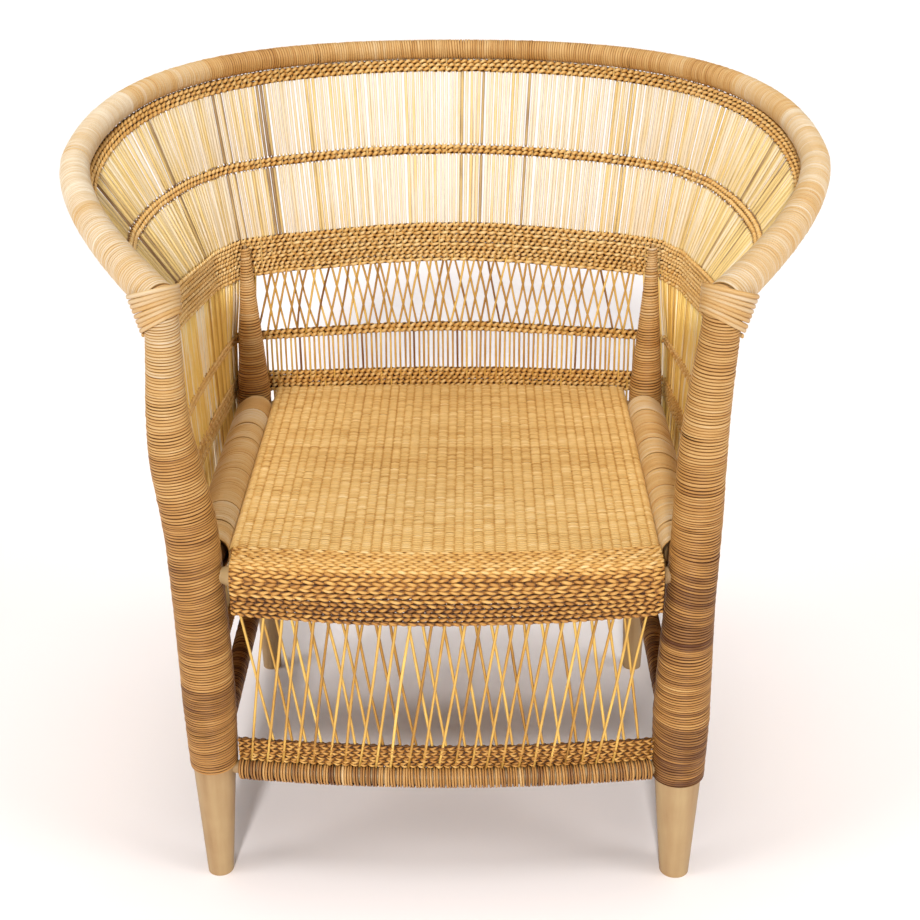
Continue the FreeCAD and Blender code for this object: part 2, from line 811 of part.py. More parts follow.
def biarc(start, start_tangent, end, end_tangent):
    """Two arcs that leave start and reach end along the given tangents, and meet smoothly."""
    chord = end - start
    both = start_tangent + end_tangent
    spread = 2 * (1 - start_tangent.dot(end_tangent))
    root = math.sqrt(chord.dot(both) ** 2 + spread * chord.dot(chord))
    reach = (root - chord.dot(both)) / spread
    joint = (start + end + (start_tangent - end_tangent) * reach) * 0.5
    joint_tangent = unit(end - start - (start_tangent + end_tangent) * reach)
    return [arc_from(start, start_tangent, joint), arc_from(joint, joint_tangent, end)]


def lashing(axis):
    """The lashing on a right front leg with the given axis."""
    steps = 4 * LASHING_TURNS
    points = [lashing_point(axis, i / 4) for i in range(steps + 1)]
    tangents = [lashing_tangent(axis, i / 4) for i in range(steps + 1)]
    tail = LASHING_DIAMETER
    start = points[0] - tangents[0] * tail
    edges = [Part.LineSegment(start, points[0]).toShape()]
    for i in range(steps):
        edges += biarc(points[i], tangents[i], points[i + 1], tangents[i + 1])
    edges.append(Part.LineSegment(points[-1], points[-1] + tangents[-1] * tail).toShape())
    profile = ring(start, tangents[0], UP, LASHING_DIAMETER / 2)
    return Part.Wire(edges).makePipeShell([profile], True, False)


def lashing_gap(axis):
    """The least gap between the lashing's neighbouring turns."""
    steps = 72
    points = [lashing_point(axis, i / steps) for i in range(steps * LASHING_TURNS + 1)]
    least = min(
        (points[i] - points[j]).Length
        for i in range(len(points))
        for j in range(i + steps // 2, min(i + steps * 3 // 2, len(points)))
    )
    return least - LASHING_DIAMETER


# Nails: one along each tenon, driven from the far side of the leg

def nail_line(leg, along, leg_radius, stop, lift):
    """Start and end of the nail through a leg into the tenon that lies in direction along."""
    base = leg + UP * lift
    return base - along * (leg_radius - NAIL_STAGGER), base + along * (stop + NAIL_GRIP)


def nail_lines():
    """Start and end of every nail on the chair's right side."""
    inward = Vector(-1, 0, 0)
    rearward = Vector(0, 1, 0)
    found = []
    for z, side_z, tenon in (
        (SEAT_RAIL_Z, SIDE_RAIL_Z, SEAT_TENON_RADIUS),
        (STRETCHER_Z, SIDE_STRETCHER_Z, STRETCHER_TENON_RADIUS),
    ):
        stop = tenon + TENON_END_GAP
        side_front = Vector(BACK_LEG_X, front_axis(side_z).y, side_z)
        found.append(nail_line(front_axis(z), inward, slim_radius(z), stop, -NAIL_STAGGER))
        found.append(nail_line(back_axis(z), inward, back_radius(z), stop, -NAIL_STAGGER))
        found.append(nail_line(side_front, rearward, slim_radius(side_z) - NAIL_STAGGER, stop, NAIL_STAGGER))
        found.append(nail_line(back_axis(side_z), FORWARD, back_radius(side_z), stop, NAIL_STAGGER))
    return found


# Assembly

seat_front = bowed_stations(SEAT_RAIL_Z, FRONT_RAIL_BOW, SEAT_TENON_RADIUS, SEAT_RAIL_RADIUS, 0.0)
seat_front_hole = bowed_stations(
    SEAT_RAIL_Z, FRONT_RAIL_BOW, SEAT_TENON_RADIUS, SEAT_RAIL_RADIUS, TENON_END_GAP / 2
)
low_front = bowed_stations(STRETCHER_Z, STRETCHER_BOW, STRETCHER_TENON_RADIUS, STRETCHER_RADIUS, 0.0)
low_front_hole = bowed_stations(
    STRETCHER_Z, STRETCHER_BOW, STRETCHER_TENON_RADIUS, STRETCHER_RADIUS, TENON_END_GAP / 2
)
seat_side = side_rail(SIDE_RAIL_Z, SEAT_TENON_RADIUS, SIDE_RAIL_RADIUS)
low_side = side_rail(SIDE_STRETCHER_Z, STRETCHER_TENON_RADIUS, STRETCHER_RADIUS)
seat_back = back_rail(SEAT_RAIL_Z, SEAT_TENON_RADIUS, SEAT_RAIL_RADIUS)
low_back = back_rail(STRETCHER_Z, STRETCHER_TENON_RADIUS, STRETCHER_RADIUS)
bearers = [bearer(-BEARER_SPREAD), bearer(BEARER_SPREAD)]

arm_bed = pole(grown(rail_stations(0.86, 1.0, 9), SKIN + REST_GAP), UP)
nails = [rod(a, b, NAIL_RADIUS) for a, b in nail_lines()]
nail_holes = [rod(a, b, NAIL_RADIUS + NAIL_FIT) for a, b in nail_lines()]
all_nail_holes = nail_holes + [mirrored(n) for n in nail_holes]
bearer_holes = [b.hole for b in bearers]

front_holes = [
    pole(grown(seat_front_hole, MORTISE_FIT), UP),
    pole(grown(low_front_hole, MORTISE_FIT), UP),
    seat_side.hole,
    low_side.hole,
    arm_bed,
]
back_holes = [seat_back.hole, low_back.hole, seat_side.hole, low_side.hole]


def front_post(axis, radii):
    """A front leg with the given axis and radii and its wrap, both on the right."""
    heights = sorted({z for z, r in radii} | {FRONT_KNEE_Z})
    leg = pole(leg_stations(axis, lambda z: stepped(radii, z), 0.0, heights), FORWARD)
    wrap = sleeve(leg_stations(axis, lambda z: stepped(radii, z), FOOT_HEIGHT, heights), FORWARD)
    return leg.cut(front_holes + nail_holes), wrap.cut(front_holes)


left_axis = bowed_axis(LEFT_BOW)
right_axis = bowed_axis(RIGHT_BOW)
left_leg, left_wrap = front_post(left_axis, LEFT_RADII)
right_leg, right_wrap = front_post(right_axis, RIGHT_RADII)
back_leg = pole(leg_stations(back_axis, back_radius, 0.0, BACK_HEIGHTS), FORWARD)
back_wrap = sleeve(leg_stations(back_axis, back_radius, FOOT_HEIGHT, BACK_HEIGHTS), FORWARD)

back_leg = back_leg.cut(back_holes + nail_holes)
back_wrap = back_wrap.cut(back_holes)
seat_side_rail = seat_side.solid.cut(bearer_holes + nail_holes)
seat_side_wrap = seat_side.wrap.cut(bearer_holes)
low_side_rail = low_side.solid.cut(nail_holes)

rail = rail_stations(-1.0, 1.0, 65)
print("arm lashings: least gap between turns", round(min(lashing_gap(left_axis), lashing_gap(right_axis)), 2), "mm")

pieces = {
    "front_leg_right": [right_leg],
    "front_leg_left": [mirrored(left_leg)],
    "back_leg_right": [back_leg],
    "back_leg_left": [mirrored(back_leg)],
    "seat_rail_front": [pole(seat_front, UP).cut(all_nail_holes)],
    "seat_rail_back": [seat_back.solid.cut(all_nail_holes)],
    "seat_rail_right": [seat_side_rail],
    "seat_rail_left": [mirrored(seat_side_rail)],
    "stretcher_front": [pole(low_front, UP).cut(all_nail_holes)],
    "stretcher_back": [low_back.solid.cut(all_nail_holes)],
    "stretcher_right": [low_side_rail],
    "stretcher_left": [mirrored(low_side_rail)],
    "top_rail": [pole(rail, UP)],
    "seat_bearers": [b.solid for b in bearers],
    "front_leg_wrap_right": [right_wrap],
    "front_leg_wrap_left": [mirrored(left_wrap)],
    "back_leg_wrap_right": [back_wrap],
    "back_leg_wrap_left": [mirrored(back_wrap)],
    "seat_rail_wrap_right": [seat_side_wrap],
    "seat_rail_wrap_left": [mirrored(seat_side_wrap)],
    "stretcher_wrap_front": [sleeve(body_of(low_front, STRETCHER_RADIUS), UP)],
    "stretcher_wrap_back": [low_back.wrap],
    "stretcher_wrap_right": [low_side.wrap],
    "stretcher_wrap_left": [mirrored(low_side.wrap)],
    "top_rail_wrap": [sleeve(rail, UP)],
    "arm_lashing_right": [lashing(right_axis)],
    "arm_lashing_left": [mirrored(lashing(left_axis))],
    "frame_nails": nails + [mirrored(n) for n in nails],
    "upper_stakes_left": upper_stakes(-PANEL_END, -BACK_LEG_X),
    "upper_stakes_back": upper_stakes(-BACK_LEG_X, BACK_LEG_X),
    "upper_stakes_right": upper_stakes(BACK_LEG_X, PANEL_END),
    "side_stakes_left": side_stakes(-STAKE_END, -BACK_LEG_X),
    "side_stakes_right": side_stakes(BACK_LEG_X, STAKE_END),
    "back_stakes": back_stakes(),
    "back_lattice": back_lattice(),
    "front_lattice": front_lattice(),
    "rim_band": [panel_strip(rim_low, RIM_HEIGHT, side) for side in (-1, 1)],
    "upper_band": [panel_strip(upper_low, UPPER_BAND_HEIGHT, side) for side in (-1, 1)],
    "waist_band": wall_band(waist_z, WAIST_HEIGHT, WAIST_FRONT_Z),
    "lower_band": wall_band(lower_z, LOWER_HEIGHT, LOWER_FRONT_Z),
    "seat_band": wall_band(seat_band_z, SEAT_BAND_HEIGHT, SEAT_BAND_FRONT_Z),
    "skirt_band": wall_band(skirt_z, SKIRT_HEIGHT, SKIRT_Z),
    "apron_band": [apron_strip(side) for side in (-1, 1)],
    "seat_canes": seat_canes(),
    "seat_weave": [seat_weave()],
    "front_roll": [front_roll()],
}

# The origin is under the middle of the chair's box: the roll is its front, the rail its back
FRONT_REACH = bowed_y(0.0, SEAT_RAIL_Z, FRONT_RAIL_BOW, APRON_SPAN) - ROLL_BORE - ROLL_SKIN
BACK_REACH = RAIL_BACK_Y + RAIL_BACK_RADIUS + SKIN
to_origin = Vector(0, -(FRONT_REACH + BACK_REACH) / 2, 0)

os.makedirs("parts", exist_ok=True)
for name, solids in pieces.items():
    shape = solids[0] if len(solids) == 1 else Part.makeCompound(solids)
    shape.translate(to_origin)
    shape.exportStep(os.path.join("parts", name + ".step"))
print(len(pieces), "nodes,", sum(len(s) for s in pieces.values()), "solids, origin moved by", round(to_origin.y, 2))
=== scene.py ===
import json
import math

import bpy
import numpy as np
from mathutils import Matrix, Vector

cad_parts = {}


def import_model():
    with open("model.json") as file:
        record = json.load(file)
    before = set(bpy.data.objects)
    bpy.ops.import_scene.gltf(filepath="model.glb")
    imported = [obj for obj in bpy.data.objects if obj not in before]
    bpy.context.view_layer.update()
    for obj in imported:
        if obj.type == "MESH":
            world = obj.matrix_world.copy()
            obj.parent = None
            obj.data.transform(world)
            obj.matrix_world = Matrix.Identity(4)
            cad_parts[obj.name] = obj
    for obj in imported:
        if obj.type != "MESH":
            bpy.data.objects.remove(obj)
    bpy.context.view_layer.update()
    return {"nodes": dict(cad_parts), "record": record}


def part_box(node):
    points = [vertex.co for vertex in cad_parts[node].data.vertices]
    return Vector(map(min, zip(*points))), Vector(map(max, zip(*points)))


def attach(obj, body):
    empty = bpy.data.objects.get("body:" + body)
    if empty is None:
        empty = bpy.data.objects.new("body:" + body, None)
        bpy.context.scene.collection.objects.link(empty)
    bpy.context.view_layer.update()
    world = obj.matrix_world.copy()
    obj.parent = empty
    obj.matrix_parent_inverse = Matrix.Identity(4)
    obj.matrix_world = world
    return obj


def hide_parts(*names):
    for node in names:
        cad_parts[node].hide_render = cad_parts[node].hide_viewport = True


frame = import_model()
rng = np.random.default_rng(7)

# Sizes in millimetres. Y is measured as in the part's own construction, before its origin was moved.
MM = 0.001
SEAT_TOP = 400.0
FRONT_FOOT = (252.0, -212.0)
FRONT_KNEE = (248.0, 300.0)
FRONT_TOP = (261.0, -226.0)
BACK_LEG = (243.5, 201.0)
BACK_TIP_Z = 591.0
ARM_Z = 678.0
RAIL_HALF_WIDTH = 380.5
RAIL_BACK_Y = 349.0
RAIL_WIDEST_Y = 3.0
RAIL_SQUARENESS = 2.15
RAIL_BACK_Z = 793.0
RAIL_SWEEP = 1.85
RAIL_RADII = (9.0, 15.0)
ARM_BEND = 1.7
ARM_OVERHANG = (4.0, 9.0)
SKIN = 3.0
WALL_OFFSET = 26.45
WALL_BOW = 8.0
SIDE_BOW = 13.0
CORNER_LENGTH = math.pi / 2 * WALL_OFFSET
CORNER = BACK_LEG[0] + CORNER_LENGTH / 2
CORNER_DRAW = 15.0
CORNER_DRAW_FOOT_Z = 440.0
CORNER_DRAW_RISE = 120.0
CORNER_REACH = 75.0
RAIL_SHARE_AT_ARM = 0.93
STRETCHER_Z = 142.0
STRETCHER_BOW = 20.0
SIDE_STRETCHER_Z = 167.0
STRETCHER_RADIUS = 9.0
SEAT_RAIL_Z = 380.0
FRONT_RAIL_BOW = 18.0
SIDE_RAIL_Z = 382.0
SIDE_RAIL_RADIUS = 18.0
ROLL_RADIUS = 20.0
ROLL_FLAT = 28.0
ROLL_FOOT_Z = 345.0
ROLL_DRAW = 4.0
ROLL_DRAW_FROM = 207.0
ROLL_DRAW_REACH = 14.0
ROLL_SAG = 0.15
ROLL_HALF = 220.0
ROLL_ENDS = (-213.5, 219.0)
APRON_FOOT_Z = 154.2
APRON_HEAD_FORWARD = 9.9
APRON_HALF = 219.0
SKIRT_FOOT_Z = 154.0
SKIRT_Z = 168.0
SEAT_HALF_WIDTH = 219.0
WAIST_HEIGHT = 48.0
WAIST_BACK_Z = 585.0
WAIST_CORNER_Z = 571.0
WAIST_FRONT_Z = 611.0

# Heights of two more bands' middles at the back, the corners and the front
LOWER_Z = (476.0, 467.0, 488.0)
SEAT_BAND_Z = (408.0, 405.0, 420.0)

# Middles of the bands on the flared stakes: the upper one as a share of their length, the rim's below the rail's wrap
UPPER_SHARE = 0.42
RIM_DROP = 8.3

# Radii of the poles as (height, radius), the front legs' bows to the outside, and where the wraps of the legs start
LEFT_RADII = ((0, 14.0), (138, 22.3), (230, 25.0), (350, 24.2), (440, 23.8), (507, 21.7), (550, 17.8), (591, 15.5),
              (640, 13.6), (ARM_Z, 13.6))
RIGHT_RADII = ((0, 16.0), (138, 25.2), (210, 27.0), (278, 25.0), (350, 22.6), (464, 21.7), (528, 20.4), (591, 17.8),
               (640, 15.5), (ARM_Z, 15.5))
LEFT_BOW = 8.5
RIGHT_BOW = -2.5
BOW_Z = 540.0
BOW_REACH = 130.0
BACK_RADII = ((0, 12.0), (138, 16.5), (400, 17.5), (BACK_TIP_Z, 1.8))
LEFT_WRAP_FOOT = 147.0
RIGHT_WRAP_FOOT = 132.0
BACK_WRAP_FOOT = 138.0

leg_low, leg_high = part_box("back_leg_right")
SHIFT = np.array([0.0, (leg_low.y + leg_high.y) / 2 / MM - BACK_LEG[1], 0.0])


# Curves of the chair, for arrays of numbers

def rows_of(*columns):
    """Points from arrays or numbers of x, y and z."""
    return np.stack(np.broadcast_arrays(*columns), axis=-1).astype(float)


def unit(vectors):
    return vectors / np.maximum(np.linalg.norm(vectors, axis=-1, keepdims=True), 1e-9)


def smooth(a, b, share):
    """A smooth step from a to b as share goes from 0 to 1."""
    share = np.clip(share, 0.0, 1.0)
    return a + (b - a) * (1 - np.cos(np.pi * share)) / 2


def bump(value, centre, reach):
    """A smooth hump: 1 at centre, 0 from reach on either side."""
    return np.cos(np.clip((value - centre) / reach, -1, 1) * np.pi / 2) ** 2


def table(pairs, value):
    return np.interp(value, [p[0] for p in pairs], [p[1] for p in pairs])


def front_axis(z):
    """The right front leg's centre line."""
    z = np.asarray(z, float)
    curve = np.polyfit([0.0, FRONT_KNEE[1], ARM_Z], [FRONT_FOOT[0], FRONT_KNEE[0], FRONT_TOP[0]], 2)
    y = FRONT_FOOT[1] + (FRONT_TOP[1] - FRONT_FOOT[1]) * z / ARM_Z
    return rows_of(np.polyval(curve, z), y, z)


def leg_axis(side, z):
    """The centre line of the left (-1) or right (1) front leg, with its own bow."""
    bow = (LEFT_BOW if side < 0 else RIGHT_BOW) * bump(np.asarray(z, float), BOW_Z, BOW_REACH)
    return (front_axis(z) + rows_of(bow, 0.0, 0.0)) * [side, 1, 1]


def front_radius(side, z):
    """The radius of the left (-1) or right (1) front leg."""
    return table(LEFT_RADII if side < 0 else RIGHT_RADII, z)


def make_rail():
    """Points and running length of the right half of the rail's centre line, from the back to the arm's end."""
    angle = np.linspace(0, np.pi / 2, 300)
    power = 2 / RAIL_SQUARENESS
    x = RAIL_HALF_WIDTH * np.sin(angle) ** power
    y = RAIL_WIDEST_Y + (RAIL_BACK_Y - RAIL_WIDEST_Y) * np.maximum(np.cos(angle), 0) ** power
    share = np.linspace(0, 1, 300)[1:]
    end_x = FRONT_TOP[0] - ARM_OVERHANG[0]
    end_y = FRONT_TOP[1] - ARM_OVERHANG[1]
    x = np.concatenate([x, RAIL_HALF_WIDTH - (RAIL_HALF_WIDTH - end_x) * share ** ARM_BEND])
    y = np.concatenate([y, RAIL_WIDEST_Y + (end_y - RAIL_WIDEST_Y) * share])
    fall = np.maximum(RAIL_BACK_Y - y, 0) / (RAIL_BACK_Y - FRONT_TOP[1])
    points = rows_of(x, y, RAIL_BACK_Z - (RAIL_BACK_Z - ARM_Z) * fall ** RAIL_SWEEP)
    run = np.concatenate([[0], np.cumsum(np.linalg.norm(np.diff(points, axis=0), axis=1))])
    return points, run


RAIL_POINTS, RAIL_RUN = make_rail()
RAIL_LENGTH = RAIL_RUN[-1]


def rail_at(distance):
    """The rail's centre at a distance from the middle of the back, positive to the right."""
    run = np.abs(distance)
    x, y, z = (np.interp(run, RAIL_RUN, RAIL_POINTS[:, i]) for i in range(3))
    return rows_of(np.copysign(x, distance), y, z)


def rail_radius(distance):
    return RAIL_RADII[0] + (RAIL_RADII[1] - RAIL_RADII[0]) * (distance / RAIL_LENGTH) ** 2


def wall_end(side, z):
    """The distance along the wall at which it meets the front leg of one side."""
    return CORNER + CORNER_LENGTH / 2 + BACK_LEG[1] - float(front_axis(z)[1] + front_radius(side, z) + SKIN)


WALL_FRONT = wall_end(1, WAIST_FRONT_Z)
SIDE_LENGTH = WALL_FRONT - BACK_LEG[0] - CORNER_LENGTH


def wall_point(s, z):
    """Points of the wall at distances s from the middle of the back. Upwards its corners draw in and its sides bow
    out."""
    run = np.abs(s)
    side = np.where(np.asarray(s) < 0, -1.0, 1.0)
    angle = np.clip((run - BACK_LEG[0]) / WALL_OFFSET, 0, np.pi / 2)
    forward = np.maximum(run - BACK_LEG[0] - CORNER_LENGTH, 0)
    inner = np.minimum(run, BACK_LEG[0])
    rise = smooth(0, 1, (z - CORNER_DRAW_FOOT_Z) / CORNER_DRAW_RISE)
    draw = CORNER_DRAW * rise * bump(run, CORNER, CORNER_REACH) * math.sqrt(0.5)
    share = np.minimum(forward / SIDE_LENGTH, 1)
    bow = SIDE_BOW * 4 * share * (1 - share) * (z - SKIRT_Z) / (WAIST_CORNER_Z - SKIRT_Z)
    x = inner + WALL_OFFSET * np.sin(angle) - draw + bow
    y = BACK_LEG[1] + WALL_OFFSET * np.cos(angle) + WALL_BOW * (1 - (inner / BACK_LEG[0]) ** 2) - forward - draw
    return rows_of(side * x, y, z)


def wall_surface(s, z):
    """Points, outward normals and upward directions on the upright wall."""
    s = np.asarray(s, float)
    tangent = unit(wall_point(s + 1.0, z) - wall_point(s - 1.0, z))
    return wall_point(s, z), rows_of(-tangent[..., 1], tangent[..., 0], 0.0), rows_of(0 * s, 0.0, 1.0)


def along_wall(s, back, corner, front):
    """A height along the wall, from the middle of the back through the corner to the front."""
    run = np.abs(s)
    behind = smooth(back, corner, run / CORNER)
    return np.where(run < CORNER, behind, smooth(corner, front, (run - CORNER) / (WALL_FRONT - CORNER)))


def waist_z(s):
    return along_wall(s, WAIST_BACK_Z, WAIST_CORNER_Z, WAIST_FRONT_Z)


def lower_z(s):
    return along_wall(s, *LOWER_Z)


def seat_band_z(s):
    return along_wall(s, *SEAT_BAND_Z)


def skirt_z(s):
    return SKIRT_Z + 0 * s


def waist_top(s):
    return waist_z(s) + WAIST_HEIGHT / 2


def rail_over(s):
    """The distance along the rail above a place on the wall."""
    return s / WALL_FRONT * RAIL_SHARE_AT_ARM * RAIL_LENGTH


def panel_lines(s):
    """The flared stake lines: feet on the waist, directions, lengths to the rail and normals."""
    def ends(at):
        return wall_point(at, waist_top(at)), rail_at(rail_over(at))

    s = np.asarray(s, float)
    foot, head = ends(s)
    before, after = ends(s - 2.0), ends(s + 2.0)
    tangent = (after[0] - before[0]) + (after[1] - before[1])
    line = unit(head - foot)
    return foot, line, np.linalg.norm(head - foot, axis=-1), unit(np.cross(line, unit(tangent)))


def panel_surface(s, h):
    """Points, outward normals and upward directions on the flared panel, at a height h along the stakes."""
    foot, line, length, normal = panel_lines(s)
    return foot + line * np.asarray(h)[..., None], normal, line


def bowed_y(x, z, bow):
    """A bowed line across the front, level with the front legs at its ends."""
    half = front_axis(ROLL_FOOT_Z)[0]
    return front_axis(z)[1] - bow * (1 - (x / half) ** 2)


def apron_surface(x, z):
    """Points, outward normals and upward directions on the apron."""
    foot = bowed_y(x, STRETCHER_Z, STRETCHER_BOW)
    head = bowed_y(x, SEAT_RAIL_Z, FRONT_RAIL_BOW) - APRON_HEAD_FORWARD
    share = (z - APRON_FOOT_Z) / (ROLL_FOOT_Z - APRON_FOOT_Z)
    point = rows_of(x, foot + (head - foot) * share, z)
    return point, rows_of(0 * x, -1.0, 0.0), rows_of(0 * x, 0.0, 1.0)


def roll_surface(x, h):
    """The front roll, h along its section: from the seat forward over the rail and down."""
    draw = smooth(0, ROLL_DRAW, (np.abs(x) - ROLL_DRAW_FROM) / ROLL_DRAW_REACH)
    y = bowed_y(x, SEAT_RAIL_Z, FRONT_RAIL_BOW) + draw
    angle = np.clip((h - ROLL_FLAT) / ROLL_RADIUS, 0, np.pi / 2)
    back = np.maximum(ROLL_FLAT - h, 0)
    sag = 1 + ROLL_SAG * (1 - (x / ROLL_HALF) ** 2)
    drop = np.maximum(h - ROLL_FLAT - np.pi / 2 * ROLL_RADIUS, 0) * sag
    point = rows_of(x, y + back - ROLL_RADIUS * np.sin(angle), SEAT_RAIL_Z + ROLL_RADIUS * np.cos(angle) - drop)
    normal = rows_of(0 * x, -np.sin(angle), np.cos(angle))
    up = rows_of(0 * x, np.cos(angle), np.sin(angle))
    return point, normal, up


# Strands: swept sections gathered into one mesh. A section's rows are (across, out, painted shade).

def oval(sides):
    angle = 2 * np.pi * np.arange(sides) / sides
    # The third column is painted shade, darkest at the strand's two sides.
    return np.stack([np.cos(angle), np.sin(angle), -0.2 * np.cos(angle) ** 2], axis=1)


def domed(rows):
    """A section that is the same on both sides, from the rows of its left half."""
    right = [(-x, y, tone) for x, y, tone in reversed(rows)]
    return np.array(rows + right)


# The third column darkens each section towards its edges: painted shade in the grooves between turns and strands.
DOME = domed([(-1, -0.8, -0.6), (-0.97, 0.0, -0.5), (-0.74, 0.68, -0.12), (-0.35, 0.97, 0.02)])
FLAT = domed([(-1, -0.8, -0.3), (-0.99, 0.6, -0.16), (-0.84, 0.9, -0.03), (-0.4, 1.0, 0.0)])
SOFT = domed([(-1, -0.8, -0.42), (-0.97, 0.1, -0.32), (-0.74, 0.74, -0.07), (-0.35, 0.97, 0.0)])
STRIP = domed([(-1, -0.7, -0.22), (-0.7, 0.8, 0.0)])


class Strands:
    """Gathers swept strands, each with its tone and the run of its grain, into one mesh."""

    def __init__(self):
        self.points, self.tones, self.grains, self.quads, self.caps = [], [], [], [], []
        self.count = 0

    def sweep(self, path, side, up, wide, thick, section, tone):
        """One strand along path; wide and thick are half sizes along side and up."""
        n, k = len(path), len(section)
        wide = np.broadcast_to(np.asarray(wide, float), n)[:, None, None]
        thick = np.broadcast_to(np.asarray(thick, float), n)[:, None, None]
        across = section[None, :, :1] * wide
        rise = section[None, :, 1:2] * thick
        points = path[:, None, :] + side[:, None, :] * across + up[:, None, :] * rise
        run = np.concatenate([[0], np.cumsum(np.linalg.norm(np.diff(path, axis=0), axis=1))])
        grain = np.empty((n, k, 3))
        grain[:, :, 0] = run[:, None]
        grain[:, :, 1] = across[:, :, 0]
        grain[:, :, 2] = rng.uniform(0, 1000)
        ring = self.count + np.arange(n * k).reshape(n, k)
        turned = np.roll(ring, -1, axis=1)
        quads = np.stack([ring[:-1], turned[:-1], turned[1:], ring[1:]], axis=-1)
        self.quads.append(quads.reshape(-1, 4))
        self.caps += [ring[0][::-1], ring[-1]]
        self.points.append(points.reshape(-1, 3))
        # The section's painted shade is added to the strand's tone.
        shade = np.broadcast_to(np.asarray(tone, float).reshape(-1, 1), (n, k)) + section[:, 2]
        self.tones.append(shade.ravel())
        self.grains.append(grain.reshape(-1, 3))
        self.count += n * k

    def piece(self, name, material, slot, *nodes):
        """The finished mesh as a piece that stands for the named nodes."""
        mesh = bpy.data.meshes.new(name)
        points = (np.concatenate(self.points) + SHIFT) * MM
        quads = np.concatenate(self.quads)
        caps = np.concatenate(self.caps)
        lengths = np.concatenate([np.full(len(quads), 4), [len(c) for c in self.caps]])
        mesh.vertices.add(len(points))
        mesh.vertices.foreach_set("co", points.ravel())
        mesh.loops.add(int(lengths.sum()))
        mesh.loops.foreach_set("vertex_index", np.concatenate([quads.ravel(), caps]).astype(np.int32))
        mesh.polygons.add(len(lengths))
        starts = np.concatenate([[0], np.cumsum(lengths)[:-1]])
        mesh.polygons.foreach_set("loop_start", starts.astype(np.int32))
        tone = mesh.attributes.new("tone", "FLOAT", "POINT")
        tone.data.foreach_set("value", np.concatenate(self.tones))
        grain = mesh.attributes.new("grain", "FLOAT_VECTOR", "POINT")
        grain.data.foreach_set("vector", np.concatenate(self.grains).ravel())
        mesh.update(calc_edges=True)
        mesh.shade_smooth()
        mesh.materials.append(material)
        piece = bpy.data.objects.new(name, mesh)
        bpy.context.scene.collection.objects.link(piece)
        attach(piece, "root")
        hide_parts(*nodes)
        return piece


def wander(count, steps, size):
    """A smooth random line of count values that turns about every steps values."""
    knots = rng.normal(0, size, int(count / steps) + 4)
    return np.interp(np.arange(count) / steps, np.arange(len(knots)), knots)


# Materials

def new_material(name):
    material = bpy.data.materials.new(name)
    material.use_nodes = True
    tree = material.node_tree
    return material, tree, tree.nodes["Principled BSDF"]


def node(tree, kind, **settings):
    made = tree.nodes.new(kind)
    for key, value in settings.items():
        setattr(made, key, value)
    return made


def ramp(tree, factor, stops):
    """A colour ramp through (place, colour) stops."""
    made = node(tree, "ShaderNodeValToRGB")
    elements = made.color_ramp.elements
    while len(elements) < len(stops):
        elements.new(0.5)
    for element, (place, colour) in zip(elements, stops):
        element.position = place
        element.color = (*colour, 1.0)
    tree.links.new(factor, made.inputs["Fac"])
    return made.outputs["Color"]


def noise(tree, vector, scale, detail, size=(1, 1, 1)):
    """Noise over a vector that is first stretched by size."""
    mapping = node(tree, "ShaderNodeMapping")
    mapping.inputs["Scale"].default_value = size
    made = node(tree, "ShaderNodeTexNoise")
    made.inputs["Scale"].default_value = scale
    made.inputs["Detail"].default_value = detail
    tree.links.new(vector, mapping.inputs["Vector"])
    tree.links.new(mapping.outputs["Vector"], made.inputs["Vector"])
    return made.outputs["Fac"]


def maths(tree, operation, a, b):
    made = node(tree, "ShaderNodeMath", operation=operation)
    for socket, value in zip(made.inputs, (a, b)):
        if isinstance(value, (int, float)):
            socket.default_value = value
        else:
            tree.links.new(value, socket)
    return made.outputs["Value"]


# Split cane: its finish, how far blotches change its tone, and the depth of its fibres in metres
CANE_ROUGHNESS = 0.45
CANE_SPECULAR = 0.3
BLOTCHES = 0.55
FIBRE_DEPTH = 0.0003


def cane_material(name, stops, streak, bump_strength):
    """Split cane: a tone for each strand, fine fibre streaks along it and soft blotches."""
    material, tree, shader = new_material(name)
    tone = node(tree, "ShaderNodeAttribute", attribute_name="tone")
    grain = node(tree, "ShaderNodeAttribute", attribute_name="grain")
    fibres = noise(tree, grain.outputs["Vector"], 1.0, 4.0, (0.03, 2.2, 1.0))
    blotches = noise(tree, grain.outputs["Vector"], 1.0, 2.0, (0.02, 0.05, 1.0))
    shade = maths(tree, "MULTIPLY", maths(tree, "SUBTRACT", fibres, 0.5), streak)
    patch = maths(tree, "MULTIPLY", maths(tree, "SUBTRACT", blotches, 0.5), BLOTCHES)
    total = maths(tree, "ADD", tone.outputs["Fac"], maths(tree, "ADD", shade, patch))
    tree.links.new(ramp(tree, total, stops), shader.inputs["Base Color"])
    shader.inputs["Roughness"].default_value = CANE_ROUGHNESS
    shader.inputs["Specular IOR Level"].default_value = CANE_SPECULAR
    bumps = node(tree, "ShaderNodeBump")
    bumps.inputs["Strength"].default_value = bump_strength
    bumps.inputs["Distance"].default_value = FIBRE_DEPTH
    tree.links.new(fibres, bumps.inputs["Height"])
    tree.links.new(bumps.outputs["Normal"], shader.inputs["Normal"])
    return material


